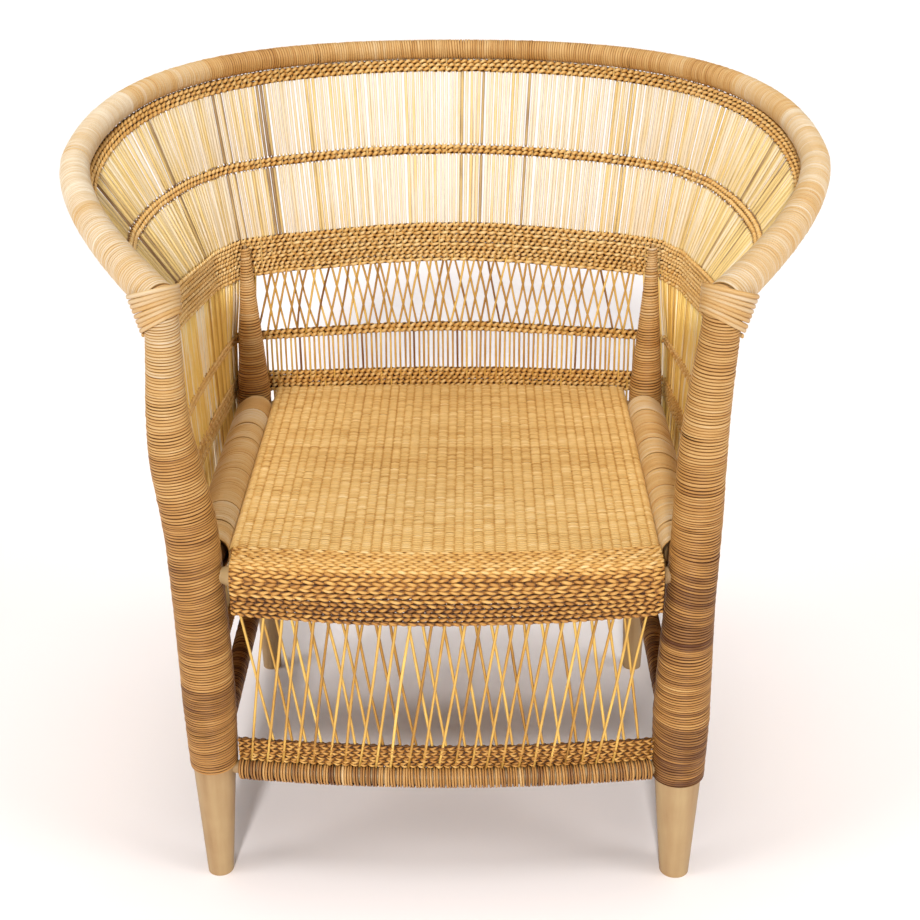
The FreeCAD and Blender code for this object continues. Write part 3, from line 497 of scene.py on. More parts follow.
def pole_material():
    """Bare peeled pole: pale wood with long grain along the pole and a few marks."""
    material, tree, shader = new_material("bare_pole")
    place = node(tree, "ShaderNodeTexCoord").outputs["Object"]
    grain = noise(tree, place, 60.0, 5.0, (1.0, 1.0, 0.06))
    marks = noise(tree, place, 24.0, 3.0)
    total = maths(tree, "ADD", maths(tree, "MULTIPLY", grain, 0.7), maths(tree, "MULTIPLY", marks, 0.3))
    stops = ((0.25, (0.23, 0.12, 0.04)), (0.45, (0.36, 0.22, 0.095)), (0.7, (0.45, 0.31, 0.145)))
    tree.links.new(ramp(tree, total, stops), shader.inputs["Base Color"])
    shader.inputs["Roughness"].default_value = 0.5
    bumps = node(tree, "ShaderNodeBump")
    bumps.inputs["Strength"].default_value = 0.2
    bumps.inputs["Distance"].default_value = 0.0005
    tree.links.new(grain, bumps.inputs["Height"])
    tree.links.new(bumps.outputs["Normal"], shader.inputs["Normal"])
    return material


def steel_material():
    material, tree, shader = new_material("nail")
    place = node(tree, "ShaderNodeTexCoord").outputs["Object"]
    stops = ((0.3, (0.30, 0.29, 0.28)), (0.7, (0.48, 0.47, 0.46)))
    tree.links.new(ramp(tree, noise(tree, place, 900.0, 3.0), stops), shader.inputs["Base Color"])
    shader.inputs["Metallic"].default_value = 1.0
    shader.inputs["Roughness"].default_value = 0.4
    return material


WRAP_STOPS = ((0.0, (0.10, 0.032, 0.008)), (0.3, (0.42, 0.20, 0.05)), (0.55, (0.57, 0.34, 0.125)),
              (0.7, (0.60, 0.42, 0.22)), (0.85, (0.65, 0.51, 0.34)), (1.0, (0.74, 0.635, 0.48)))
STAKE_STOPS = ((0.0, (0.20, 0.08, 0.015)), (0.3, (0.50, 0.26, 0.05)), (0.6, (0.80, 0.52, 0.13)),
               (0.8, (0.90, 0.63, 0.18)), (1.0, (0.92, 0.82, 0.64)))
PALE_STOPS = ((0.0, (0.16, 0.07, 0.02)), (0.3, (0.32, 0.20, 0.09)), (0.5, (0.58, 0.40, 0.15)),
              (0.65, (0.75, 0.54, 0.21)), (0.8, (0.71, 0.57, 0.36)), (1.0, (0.77, 0.655, 0.50)))
TWINE_STOPS = ((0.0, (0.05, 0.014, 0.003)), (0.3, (0.40, 0.17, 0.032)), (0.6, (0.64, 0.36, 0.10)),
               (1.0, (0.84, 0.62, 0.30)))
SEAT_STOPS = ((0.0, (0.22, 0.08, 0.012)), (0.35, (0.50, 0.26, 0.06)), (0.65, (0.68, 0.43, 0.15)),
              (1.0, (0.84, 0.64, 0.34)))

CANE_WRAP = cane_material("cane_wrap", WRAP_STOPS, streak=0.35, bump_strength=0.25)
CANE_STAKE = cane_material("cane_stake", STAKE_STOPS, streak=0.35, bump_strength=0.2)
PALE_STAKE = cane_material("pale_stake", PALE_STOPS, streak=0.35, bump_strength=0.2)
CANE_TWINE = cane_material("cane_twine", TWINE_STOPS, streak=0.4, bump_strength=0.25)
SEAT_CANE = cane_material("seat_weave", SEAT_STOPS, streak=0.4, bump_strength=0.25)
BARE_POLE = pole_material()
NAIL = steel_material()


# Wraps: one cane wound in a close helix. First the unevenness of its turns: their width, slant, height and gaps.

TURN_SPREAD = 0.16
TURN_LIMITS = (0.6, 1.5)
TURN_SLANT = 0.15
TURN_PROUD = 0.14
GAP_SHARE = 0.35
GAP_RARITY = 1.7

# Wraps of one cane: the pitch of its turns and half its thickness
POST_WRAP = (3.0, 1.2)
BACK_LEG_WRAP = (3.2, 0.9)
RAIL_WRAP = (2.9, 1.1)

# Wraps in groups: the strips in a group, their width, the gap after a group and half the cane's thickness
SEAT_RAIL_WRAP = (10, 4.2, 1.9, 1.0)
STRETCHER_WRAP = (3, 2.7, 1.0, 0.9)

# Where wraps end
WRAP_BELOW_ARM = 9.0
RAIL_WRAP_INSET = 2.0
SEAT_RAIL_BACK_Y = 181.0
SIDE_STRETCHER_ENDS = (-186.0, 182.0)
BACK_STRETCHER_HALF = 223.0
FRONT_STRETCHER_HALF = 221.0


def strip_tones(turns, spread=0.05, run=14):
    """A change of tone for each turn: every strip of cane has its own, and its turns differ a little."""
    found = np.empty(turns)
    k = 0
    while k < turns:
        count = int(rng.integers(2, run * 2))
        found[k:k + count] = rng.normal(0, spread)
        k += count
    return found + rng.normal(0, spread, turns)


def level(distance, out):
    """No tilt of the turns, and no swell of the pole."""
    return 0.0


def wound(strands, centre, radius, start, length, pitch, height, tone, section, around, tilt=level, swell=level):
    """Winds a cane on a pole. centre, radius and tone are functions of the distance along it. tilt moves the turns
    along the pole and swell out from it, by the direction in which they face."""
    turns = max(int(length / pitch), 2)
    steps = np.clip(1 + TURN_SPREAD * rng.normal(0, 1, turns + 1), *TURN_LIMITS)
    edge = np.concatenate([[0], np.cumsum(steps)])
    edge = np.minimum(edge * length / edge[turns], length)
    turn = np.linspace(0, turns - 1, (turns - 1) * around + 1)
    low = np.interp(turn, np.arange(len(edge)), edge)
    high = np.interp(turn + 1, np.arange(len(edge)), edge)
    middle = start + (low + high) / 2
    tangent = unit(centre(middle + 1.0) - centre(middle - 1.0))
    upright = np.where(np.abs(tangent[:, 2:]) > 0.8, rows_of(0 * middle, -1.0, 0.0), rows_of(0 * middle, 0.0, 1.0))
    first = unit(np.cross(upright, tangent))
    second = np.cross(tangent, first)
    angle = 2 * np.pi * turn
    out = first * np.cos(angle)[:, None] + second * np.sin(angle)[:, None]
    slant = TURN_SLANT * pitch * wander(len(turn), around * 4, 1.0) * np.sin(angle) + tilt(middle, out)
    proud = TURN_PROUD * height * wander(len(turn), around * 0.7, 1.0)
    path = centre(middle + slant) + out * (radius(middle) + SKIN - height + proud + swell(middle, out))[:, None]
    shade = np.interp(turn, np.arange(turns + 1), strip_tones(turns + 1)) + tone(middle)
    gaps = GAP_SHARE * np.clip(wander(len(turn), around * 0.6, 1.0) - GAP_RARITY, 0, 1)
    strands.sweep(path, tangent, out, (high - low) * (0.5 - gaps), height, section, shade)


# Tones of the front legs' wraps by height, paler towards the arm; the left leg's are paler than the right's, which is
# painted light from the left.
LEFT_TONES = ((300, 0.28), (450, 0.3), (600, 0.68))
RIGHT_TONES = ((250, 0.16), (430, 0.29), (600, 0.54))

# Where the turns on the front legs tilt: how far, at which height and within what reach
LEG_TILTS = ((5.0, 375, 70), (4.0, 190, 50))


def wrap_front_leg(side):
    """The wrap on a front leg: paler towards the arm, its turns rising to the inside at the roll and the apron."""
    strands = Strands()
    foot = LEFT_WRAP_FOOT if side < 0 else RIGHT_WRAP_FOOT
    tones = LEFT_TONES if side < 0 else RIGHT_TONES

    def tilt(z, out):
        return -side * out[:, 0] * sum(size * bump(z, height, reach) for size, height, reach in LEG_TILTS)

    wound(strands, lambda z: leg_axis(side, z), lambda z: front_radius(side, z), foot, ARM_Z - WRAP_BELOW_ARM - foot,
          *POST_WRAP, tone=lambda z: table(tones, z), section=DOME, around=36, tilt=tilt)
    return strands


# The back legs' tones below and above, the height at which they change and the length of the change
BACK_TONES = (0.36, 0.58)
BACK_TONE_Z = 420.0
BACK_TONE_RISE = 90.0


def wrap_back_leg(side):
    """The wrap on a back leg: darker by the seat."""
    strands = Strands()
    wound(strands, lambda z: rows_of(side * BACK_LEG[0] + 0 * z, BACK_LEG[1], z), lambda z: table(BACK_RADII, z),
          BACK_WRAP_FOOT, BACK_TIP_Z - BACK_WRAP_FOOT, *BACK_LEG_WRAP,
          tone=lambda z: smooth(*BACK_TONES, (z - BACK_TONE_Z) / BACK_TONE_RISE), section=DOME, around=26)
    return strands


# Tones of the rail's wrap by distance from the middle of the back, left negative: pale at the arms partly as painted
# highlight, and paler at the left arm than the right as painted light from the left.
RAIL_TONES = ((-750, 0.86), (-420, 0.8), (-330, 0.66), (-280, 0.42), (-215, 0.44), (-195, 0.54), (120, 0.54),
              (150, 0.46), (330, 0.5), (390, 0.66), (750, 0.76))


def wrap_rail():
    """The wrap on the whole top rail: pale at the arms, partly as painted highlight and paler on the left as painted
    light, with darker strips at the back. Its ends are capped.
    """
    strands = Strands()
    half = RAIL_LENGTH - RAIL_WRAP_INSET
    wound(strands, rail_at, rail_radius, -half, 2 * half, *RAIL_WRAP, tone=lambda d: table(RAIL_TONES, d),
          section=SOFT, around=24)
    for side in (-1, 1):
        rail_cap(strands, side)
    return strands


def rail_pole():
    """The bent pole inside the top rail's wrap."""
    strands = Strands()
    d = np.linspace(1 - RAIL_LENGTH, RAIL_LENGTH - 1, 300)
    line = unit(np.gradient(rail_at(d), axis=0))
    side = unit(np.cross(line, [0.0, 0.0, 1.0]))
    strands.sweep(rail_at(d), side, np.cross(side, line), rail_radius(d), rail_radius(d), oval(20), 0.5)
    return strands


def rail_cap(strands, side):
    """A flat spiral of cane over the end of an arm."""
    first_turn, last_turn, pitch, height = 0.3, 5.6, 3.1, 1.3
    end = rail_at(np.array([side * (RAIL_LENGTH - 1.0)]))[0]
    line = unit(end - rail_at(np.array([side * (RAIL_LENGTH - 6.0)]))[0])
    across = unit(np.cross(line, [0.0, 0.0, 1.0]))
    up = np.cross(across, line)
    turn = np.linspace(first_turn, last_turn, 150)
    angle = 2 * np.pi * turn
    out = across * np.cos(angle)[:, None] + up * np.sin(angle)[:, None]
    facing = np.broadcast_to(line, out.shape)
    path = end + line * 1.2 + out * (pitch * turn)[:, None]
    strands.sweep(path, out, facing, pitch / 2, height, DOME, 0.6)


def wrap_groups(centre, radius, start, end, strips, width, gap, height, tone, section, around, swell=level):
    """A wrap in groups of strips, with a gap after each group."""
    strands = Strands()
    advance = (strips - 1) * width + gap
    count = int((end - start - strips * width) / advance)
    stretch = (end - start) / ((count + 1) * advance + width)
    for k in range(count + 1):
        group_tone = tone + rng.normal(0, 0.04)
        wound(strands, centre, lambda d: radius + 0 * d, start + k * advance * stretch, strips * width * stretch,
              width * stretch, height, lambda d: group_tone + 0 * d, section, around, swell=swell)
    return strands


def side_line(side, z):
    """The centre line of a side rail, for distances along y."""
    return lambda y: rows_of(side * BACK_LEG[0] + 0 * y, y, z)


SEAT_RAIL_SWELL = 7.0


def seat_swell(side):
    """The side seat rail's swell towards the edge of the seat, as a function of the turns' direction."""
    def swell(distance, out):
        return SEAT_RAIL_SWELL * np.maximum((out[:, 2] - side * out[:, 0]) * math.sqrt(0.5), 0) ** 2

    return swell


for side_name, side in (("left", -1), ("right", 1)):
    wrap_front_leg(side).piece(f"front_leg_winding_{side_name}", CANE_WRAP, "cane_wrap",
                               f"front_leg_wrap_{side_name}")
    wrap_back_leg(side).piece(f"back_leg_winding_{side_name}", CANE_WRAP, "cane_wrap", f"back_leg_wrap_{side_name}")
    rail_start = float(front_axis(SIDE_RAIL_Z)[1] + front_radius(side, SIDE_RAIL_Z) + SKIN)
    rail_wrap = wrap_groups(side_line(side, SIDE_RAIL_Z), SIDE_RAIL_RADIUS, rail_start, SEAT_RAIL_BACK_Y,
                            *SEAT_RAIL_WRAP, tone=0.6, section=FLAT, around=34, swell=seat_swell(side))
    rail_wrap.piece(f"seat_rail_winding_{side_name}", CANE_WRAP, "cane_wrap", f"seat_rail_wrap_{side_name}")
    # The side stretchers' wraps have a darker tone as painted shade, for the seat's shadow on them.
    low_wrap = wrap_groups(side_line(side, SIDE_STRETCHER_Z), STRETCHER_RADIUS, *SIDE_STRETCHER_ENDS,
                           *STRETCHER_WRAP, tone=0.2, section=DOME, around=20)
    low_wrap.piece(f"stretcher_winding_{side_name}", CANE_WRAP, "cane_wrap", f"stretcher_wrap_{side_name}")

back_wrap = wrap_groups(lambda x: rows_of(x, BACK_LEG[1], STRETCHER_Z), STRETCHER_RADIUS, -BACK_STRETCHER_HALF,
                        BACK_STRETCHER_HALF, *STRETCHER_WRAP, tone=0.3, section=DOME, around=20)
back_wrap.piece("stretcher_winding_back", CANE_WRAP, "cane_wrap", "stretcher_wrap_back")
front_wrap = wrap_groups(lambda x: rows_of(x, bowed_y(x, STRETCHER_Z, STRETCHER_BOW), STRETCHER_Z), STRETCHER_RADIUS,
                         -FRONT_STRETCHER_HALF, FRONT_STRETCHER_HALF, *STRETCHER_WRAP, tone=0.29, section=DOME,
                         around=22)
front_wrap.piece("stretcher_winding_front", CANE_WRAP, "cane_wrap", "stretcher_wrap_front")
wrap_rail().piece("top_rail_winding", CANE_WRAP, "cane_wrap", "top_rail_wrap")
rail_pole().piece("top_rail_pole", BARE_POLE, "bare_pole", "top_rail")


# Stakes: thin canes. First the pitches on the flat and at the corners.

FLARE_PITCHES = (4.5, 3.5)
SIDE_PITCHES = (4.3, 3.4)
BACK_PITCHES = (5.95, 5.95)

# How far a stake's place, layer and tone vary
STAKE_SHIFT = 0.35
STAKE_LAYER = 0.5
STAKE_SPREAD = 0.10


def cane(strands, path, radius, tone, bend=0.6):
    """One thin cane along a path, with a slight bend of its own."""
    share = np.linspace(0, 1, len(path))
    line = unit(np.gradient(path, axis=0))
    side = unit(np.cross(line, [0.0, 1.0, 0.1]))
    third = np.cross(line, side)
    sway = np.sin(np.pi * share)[:, None] * (side * rng.normal(0, bend) + third * rng.normal(0, bend * 0.5))
    wide = radius * (1 + 0.06 * rng.normal(0, 1, len(path)))
    strands.sweep(path + sway, side, third, wide, wide * 0.9, oval(8), tone)


def straight(start, end):
    return start + (end - start) * np.linspace(0, 1, 9)[:, None]


def stake_tone(tone, dark_share, dark=0.35):
    """The tone of one cane: now and then a dark one."""
    return rng.normal(tone, STAKE_SPREAD) - (dark if rng.random() < dark_share else 0.0)


def stake_places(low, high, pitch, corner_pitch):
    """Distances along the wall, a little uneven and closer together round the corners."""
    places = [low + pitch / 2]
    while places[-1] < high:
        near = bump(abs(places[-1]), CORNER, CORNER_REACH)
        places.append(places[-1] + pitch + (corner_pitch - pitch) * near)
    places = np.array(places[:-1])
    layers = np.where(np.arange(len(places)) % 2, STAKE_LAYER, -STAKE_LAYER)
    return places + rng.normal(0, STAKE_SHIFT, len(places)), layers


# Tones of the flared stakes by distance from the middle of the back: paler at the back as painted light for the
# brightly lit back panel, golden towards the arms.
FLARE_TONES = ((240, 0.93), (330, 0.86), (450, 0.73), (680, 0.7))
FLARE_RADIUS = 1.8

# Flared stakes are thinner where a band holds them, and darker there as painted shade between its rows, half of its
# height to either side of its middle.
# IN_A_BAND tells it for the places along a stake above the waist.
HELD_THINNER = 0.7
HELD_PAINTED_SHADE = 0.45
UPPER_GRIP = 6.0
RIM_GRIP = 7.0
GRIP_EASE = 2.0
IN_A_BAND = np.array([0, 0, 0, 1, 1, 0, 0, 0, 1, 1])


def upper_stakes(low, high):
    """Stakes from the foot of the waist band up through it, and flared out to the rail: paler at the back, as painted
    light.
    """
    strands = Strands()
    s, layer = stake_places(low, high, *FLARE_PITCHES)
    foot, line, length, normal = panel_lines(s)
    rail = rail_radius(rail_over(s)) + SKIN
    for i in range(len(s)):
        band_z = waist_top(s[i]) - np.array([WAIST_HEIGHT - 2, WAIST_HEIGHT / 2, 4.0])
        in_band, outward, _ = wall_surface(s[i] + 0 * band_z, band_z)
        middle, rim = UPPER_SHARE * length[i], length[i] - rail[i] - RIM_DROP
        upper_edge, rim_edge = UPPER_GRIP + GRIP_EASE, RIM_GRIP + GRIP_EASE
        h = np.array([2.0, middle / 2, middle - upper_edge, middle - UPPER_GRIP, middle + UPPER_GRIP,
                      middle + upper_edge, (middle + rim) / 2, rim - rim_edge, rim - RIM_GRIP,
                      length[i] - rail[i] + 2])
        held = np.concatenate([np.ones(3), IN_A_BAND])
        flare = foot[i] + line[i] * h[:, None]
        path = np.concatenate([in_band + outward * layer[i], flare + normal[i] * layer[i]])
        # Painted light: paler towards the middle of the back.
        tone = table(FLARE_TONES, abs(s[i]))
        # Painted shade on the stake where a band holds it.
        shade = stake_tone(tone, 0.08, 0.5 * tone) - HELD_PAINTED_SHADE * held
        cane(strands, path, FLARE_RADIUS - HELD_THINNER * held, shade)
    return strands


def wall_stakes(low, high, pitch, corner_pitch, top, radius, tone, dark_share):
    """Upright stakes from the foot of the skirt to a height on the wall."""
    strands = Strands()
    s, layer = stake_places(low, high, pitch, corner_pitch)
    for at, out in zip(s, layer):
        z = np.linspace(SKIRT_FOOT_Z, float(top(at)), 10)
        point, normal, _ = wall_surface(at + 0 * z, z)
        cane(strands, point + normal * out, radius, stake_tone(tone, dark_share), 0.8)
    return strands


LATTICE_TONE = (0.42, 0.05)
LATTICE_BEND = 1.2


def back_lattice():
    """Crossed canes from the lower band into the waist band."""
    strands = Strands()
    pitch, drift, tuck, half = 12.7, 19.0, 40.0, 19
    limit = BACK_LEG[0] - 3
    for layer, lean in ((-1.5, 1), (1.5, -1)):
        for i in range(-half, half + 1):
            s = i * pitch + rng.normal(0, 0.8)
            top = s + lean * drift + rng.normal(0, 1.5)
            if max(abs(s), abs(top)) > limit:
                continue
            start = wall_point(s, float(lower_z(s)))
            end = wall_point(top, float(waist_top(top)) - tuck)
            cane(strands, straight(start, end) + [0, layer, 0], 1.3, stake_tone(*LATTICE_TONE), LATTICE_BEND)
    return strands


def front_lattice():
    """Crossed canes from the stretcher up behind the roll, in pairs."""
    strands = Strands()
    pitch, drift, tuck, half = 16.7, 30.5, 24.0, 15
    for layer, lean in ((-1.55, 1), (1.55, -1)):
        for i in range(-half, half):
            x = (i + 0.5) * pitch - lean * drift / 2 + rng.normal(0, 0.7)
            top = x + lean * drift + rng.normal(0, 1.0)
            if max(abs(x), abs(top)) > APRON_HALF - 1:
                continue
            start = apron_surface(np.array([x]), APRON_FOOT_Z)[0][0]
            end = apron_surface(np.array([top]), ROLL_FOOT_Z + tuck)[0][0]
            cane(strands, straight(start, end) + [0, layer, 0], 1.5, stake_tone(*LATTICE_TONE), LATTICE_BEND)
    return strands


SIDE_TUCK = 12.0


def side_top(s):
    return waist_top(s) - WAIST_HEIGHT + SIDE_TUCK


PANEL_END = WALL_FRONT - 12.0
STAKE_END = WALL_FRONT - 20.0
for part, low, high in (("left", -PANEL_END, -BACK_LEG[0]), ("back", -BACK_LEG[0], BACK_LEG[0]),
                        ("right", BACK_LEG[0], PANEL_END)):
    upper_stakes(low, high).piece(f"flared_stakes_{part}", PALE_STAKE, "cane_stake", f"upper_stakes_{part}")
for side_name, low, high in (("left", -STAKE_END, -BACK_LEG[0]), ("right", BACK_LEG[0], STAKE_END)):
    stakes = wall_stakes(low, high, *SIDE_PITCHES, side_top, radius=1.7, tone=0.88, dark_share=0.1)
    stakes.piece(f"wall_stakes_{side_name}", CANE_STAKE, "cane_stake", f"side_stakes_{side_name}")
back_stakes = wall_stakes(-BACK_LEG[0], BACK_LEG[0], *BACK_PITCHES, lower_z, radius=1.3, tone=0.42, dark_share=0.1)
back_stakes.piece("wall_stakes_back", CANE_STAKE, "cane_stake", "back_stakes")
back_lattice().piece("lattice_back", CANE_STAKE, "cane_stake", "back_lattice")
front_lattice().piece("lattice_front", CANE_STAKE, "cane_stake", "front_lattice")


# Twined bands: rows of two strands that twist round the stakes. A strand is made of canes of several lengths.

PIECE_LENGTHS = (60, 260)

# Shares of a row's pitch by which a strand rises and its dark filler, a strip of painted shade behind the row, is
# wide
LEAF_LIFT = 0.22
SHADE_FILLER_WIDTH = 0.52

# A strand's flatness, and its width and painted shade where it passes through the wall
LEAF_FLATNESS = 0.6
LEAF_ENDS = 0.62
CROSSING_SHADE = 0.4

# Usual depth and girth of a strand, and how the flatter rows differ: in stitch, lean and tone
TWINE_DEPTH = 2.6
TWINE_GIRTH = 0.46
FLAT_STITCH = 1.5
FLAT_LEAN = -0.6
FLAT_TONE = 0.06


def piece_tones(run, tone, spread):
    """A tone along a strand that is pieced together from canes of different tone."""
    found = np.empty(len(run))
    start = run[0]
    while start < run[-1]:
        end = start + rng.uniform(*PIECE_LENGTHS)
        found[(run >= start) & (run <= end)] = tone + rng.normal(0, spread)
        start = end
    return found


def twined(strands, surface, height, low, high, stitch, lean, pitch, tone, depth, girth):
    """One row of twining between two distances along a surface, at height(distance), over a flat dark filler that is
    painted shade.
    """
    count = int((high - low) / stitch * 8)
    s = np.linspace(low, high, count)
    point, normal, up = surface(s, height(s) + 0.05 * pitch * wander(count, 30, 1.0))
    phase = np.pi * s / stitch + rng.uniform(0, 2 * np.pi) + 0.3 * wander(count, 24, 1.0)
    for turn in (0.0, np.pi):
        swing = np.cos(phase + turn)
        lift = lean * LEAF_LIFT * pitch * np.sin(phase + turn)
        path = point + normal * (depth * swing)[:, None] + up * lift[:, None]
        full = LEAF_ENDS + (1 - LEAF_ENDS) * np.abs(swing)
        wide = girth * pitch * full * (1 + 0.06 * wander(count, 8, 1.0))
        # Painted shade where the strand dips through the wall between the stakes.
        shade = piece_tones(s, tone, 0.07) - CROSSING_SHADE * (1 - np.abs(swing)) ** 2
        strands.sweep(path, up, normal, wide, wide * LEAF_FLATNESS, oval(6), shade)
    # The filler: a dark strip of painted shade that shows in the gaps between the rows.
    coarse = slice(None, None, 4)
    strands.sweep(point[coarse], up[coarse], normal[coarse], SHADE_FILLER_WIDTH * pitch, 0.5, STRIP, 0.1)


ROWS_IN_A_PIECE = 4


def rows_piece(name, node_name, surface, rows, slot="cane_twine"):
    """Twined rows as pieces of a few rows each. A row is (height, low, high, stitch, lean, pitch, tone, depth,
    girth)."""
    for first in range(0, len(rows), ROWS_IN_A_PIECE):
        strands = Strands()
        for row in rows[first:first + ROWS_IN_A_PIECE]:
            twined(strands, surface, *row)
        part = f"{name}_{first // ROWS_IN_A_PIECE + 1}" if len(rows) > ROWS_IN_A_PIECE else name
        strands.piece(part, CANE_TWINE, slot, node_name)


def raised(centre, offset):
    """The height function of a row at an offset from a band's centre."""
    return lambda s: centre(s) + offset


def band_rows(centre, low, high, kinds, pitch, stitch, tone):
    """Rows of a band from the top down: t is a twined row, p a flatter one."""
    rows = []
    for k, kind in enumerate(kinds):
        height = raised(centre, ((len(kinds) - 1) / 2 - k) * pitch)
        if kind == "t":
            rows.append((height, low, high, stitch, -1.0, pitch, tone, TWINE_DEPTH, TWINE_GIRTH))
        else:
            rows.append((height, low, high, stitch * FLAT_STITCH, FLAT_LEAN, pitch, tone + FLAT_TONE, TWINE_DEPTH,
                         TWINE_GIRTH))
    return rows


def wall_rows(name, node_name, centre, front_z, kinds, pitch, stitch, tone):
    """A twined band on the upright wall, from leg to leg."""
    ends = [wall_end(side, front_z) - 0.5 for side in (-1, 1)]
    rows_piece(name, node_name, wall_surface, band_rows(centre, -ends[0], ends[1], kinds, pitch, stitch, tone))


wall_rows("waist_twining", "waist_band", waist_z, WAIST_FRONT_Z, "ttpttptttp", pitch=4.8, stitch=7.4, tone=0.84)
wall_rows("lower_twining", "lower_band", lower_z, LOWER_Z[2], "tt", pitch=5.9, stitch=8.0, tone=0.78)
wall_rows("seat_twining", "seat_band", seat_band_z, SEAT_BAND_Z[2], "ttttt", pitch=5.2, stitch=7.6, tone=0.74)
wall_rows("skirt_twining", "skirt_band", skirt_z, SKIRT_Z, "tttttt", pitch=4.7, stitch=6.3, tone=0.5)


def upper_z(s):
    return UPPER_SHARE * panel_lines(s)[2]


def rim_z(s):
    return panel_lines(s)[2] - rail_radius(rail_over(s)) - SKIN - RIM_DROP


PANEL_ROWS_END = PANEL_END - 5
rows_piece("upper_twining", "upper_band", panel_surface,
           band_rows(upper_z, -PANEL_ROWS_END, PANEL_ROWS_END, "tt", pitch=5.2, stitch=7.0, tone=0.76))
rows_piece("rim_twining", "rim_band", panel_surface,
           band_rows(rim_z, -PANEL_ROWS_END, PANEL_ROWS_END, "ttt", pitch=5.0, stitch=7.2, tone=0.76))


def level_rows(first, step, count, low, high, stitch, lean, tone, depth, girth):
    """Rows that lean to either side in turn, for the apron and the roll."""
    return [(raised(lambda x: 0 * x, first + step * k), low, high, stitch, lean if k % 2 else -lean, step, tone,
             depth, girth) for k in range(count)]


rows_piece("apron_twining", "apron_band", apron_surface,
           level_rows(APRON_FOOT_Z + 2, 3.5, 8, -APRON_HALF - 1, APRON_HALF + 1, stitch=9.0, lean=1.0, tone=0.45,
                      depth=2.6, girth=0.42))


# Seat: fine strips woven over and under lengthwise canes, and the twined roll at the front

# Lengthwise canes: gaps between them and their depth below the seat's top
COLUMN_GAPS = (8.9, 12.0)
COLUMN_DEPTH = 4.6

# Strips across: pitch, mean height and swing over and under, width and drop of the bent edge, painted shade between
# two canes
WEFT_PITCH = 1.9
WEFT_LEVEL = -2.0
WEFT_SWING = 1.1
WEFT_EDGE = 7.0
WEFT_EDGE_DROP = 5.0
WEFT_GROOVE = 0.34

# The roll's lengthwise canes: pitch and depth. Its twining has a depth of its own.
ROLL_WARP_PITCH = 7.25
ROLL_WARP_DEPTH = 3.6
ROLL_TWINE_DEPTH = 2.4


def column_places():
    """The seat's lengthwise canes across its width, unevenly spaced."""
    places = [-SEAT_HALF_WIDTH + 5.0]
    while places[-1] < SEAT_HALF_WIDTH - 8.0:
        places.append(places[-1] + rng.uniform(*COLUMN_GAPS))
    return np.array(places)


COLUMNS = column_places()


def seat_front(x):
    """The line where the seat's flat part meets the roll."""
    return bowed_y(x, SEAT_RAIL_Z, FRONT_RAIL_BOW) + ROLL_FLAT


def seat_back(x):
    """The line where the seat meets the wall behind it."""
    return BACK_LEG[1] + WALL_OFFSET + WALL_BOW * (1 - (x / BACK_LEG[0]) ** 2) - 5.5


def seat_columns():
    strands = Strands()
    for x in COLUMNS:
        start = np.array([x, float(seat_front(x)) - 8, SEAT_TOP - COLUMN_DEPTH])
        end = np.array([x, float(seat_back(x)), SEAT_TOP - COLUMN_DEPTH])
        cane(strands, straight(start, end), radius=2.0, tone=0.1, bend=0.3)
    return strands


def weft(strands, x, point, normal, along, row, zone):
    """One strip across the seat, over and under its lengthwise canes, bent down at the seat's edges."""
    place = np.interp(x, COLUMNS, np.arange(len(COLUMNS)))
    wave = np.cos(np.pi * (place + row))
    edge = np.clip((np.abs(x) - SEAT_HALF_WIDTH + WEFT_EDGE) / WEFT_EDGE, 0, 1)
    lift = WEFT_LEVEL + WEFT_SWING * wave + 0.15 * wander(len(x), 12, 1.0) - WEFT_EDGE_DROP * edge ** 2
    path = point + normal * lift[:, None] + along * (0.25 * wander(len(x), 20, 1.0))[:, None]
    # Painted shade where the strip dips under, between two canes.
    groove = WEFT_GROOVE * (1 - np.maximum(wave, 0)) ** 4
    tone = 0.68 - 0.0004 * row + zone + 0.05 * wander(len(x), 10, 1.0) - groove
    strands.sweep(path, along, normal, 1.75, 0.55, STRIP, tone)


def seat_sheet():
    """The woven sheet from the wall forward to the roll, in pieces."""
    x = np.linspace(-SEAT_HALF_WIDTH, SEAT_HALF_WIDTH, len(COLUMNS) * 6)
    ones = np.ones((len(x), 1))
    rows = int((seat_back(0.0) - float(seat_front(0.0))) / WEFT_PITCH)
    zones = strip_tones(rows, 0.04, 18)
    pieces, in_a_piece = [], 80
    for row in range(rows):
        if row % in_a_piece == 0:
            pieces.append(Strands())
        front = seat_front(x)
        y = front + (seat_back(x) - front) * (row + 0.5) / rows
        weft(pieces[-1], x, rows_of(x, y, SEAT_TOP), ones * [0, 0, 1], ones * [0, 1, 0], row, zones[row])
    return pieces


seat_columns().piece("seat_columns", SEAT_CANE, "seat_weave", "seat_canes")
for k, strands in enumerate(seat_sheet()):
    strands.piece(f"seat_sheet_{k + 1}", SEAT_CANE, "seat_weave", "seat_weave")

roll_warps = Strands()
for x in np.arange(ROLL_ENDS[0] + 3, ROLL_ENDS[1], ROLL_WARP_PITCH):
    h = np.linspace(2, 93, 26)
    point, normal, up = roll_surface(x + 0 * h, h)
    # The roll's lengthwise canes are real, but their darkest tone is painted shade that fills the gaps between the
    # twined rows.
    roll_warps.sweep(point - normal * ROLL_WARP_DEPTH, rows_of(1 + 0 * h, 0.0, 0.0), normal, 2.6, 1.2, oval(6), 0.0)
roll_warps.piece("roll_warps", CANE_TWINE, "seat_weave", "front_roll")


def roll_face(x, h):
    """The roll's surface at the middle of its twining."""
    point, normal, up = roll_surface(x, h)
    return point - normal * ROLL_TWINE_DEPTH, normal, up


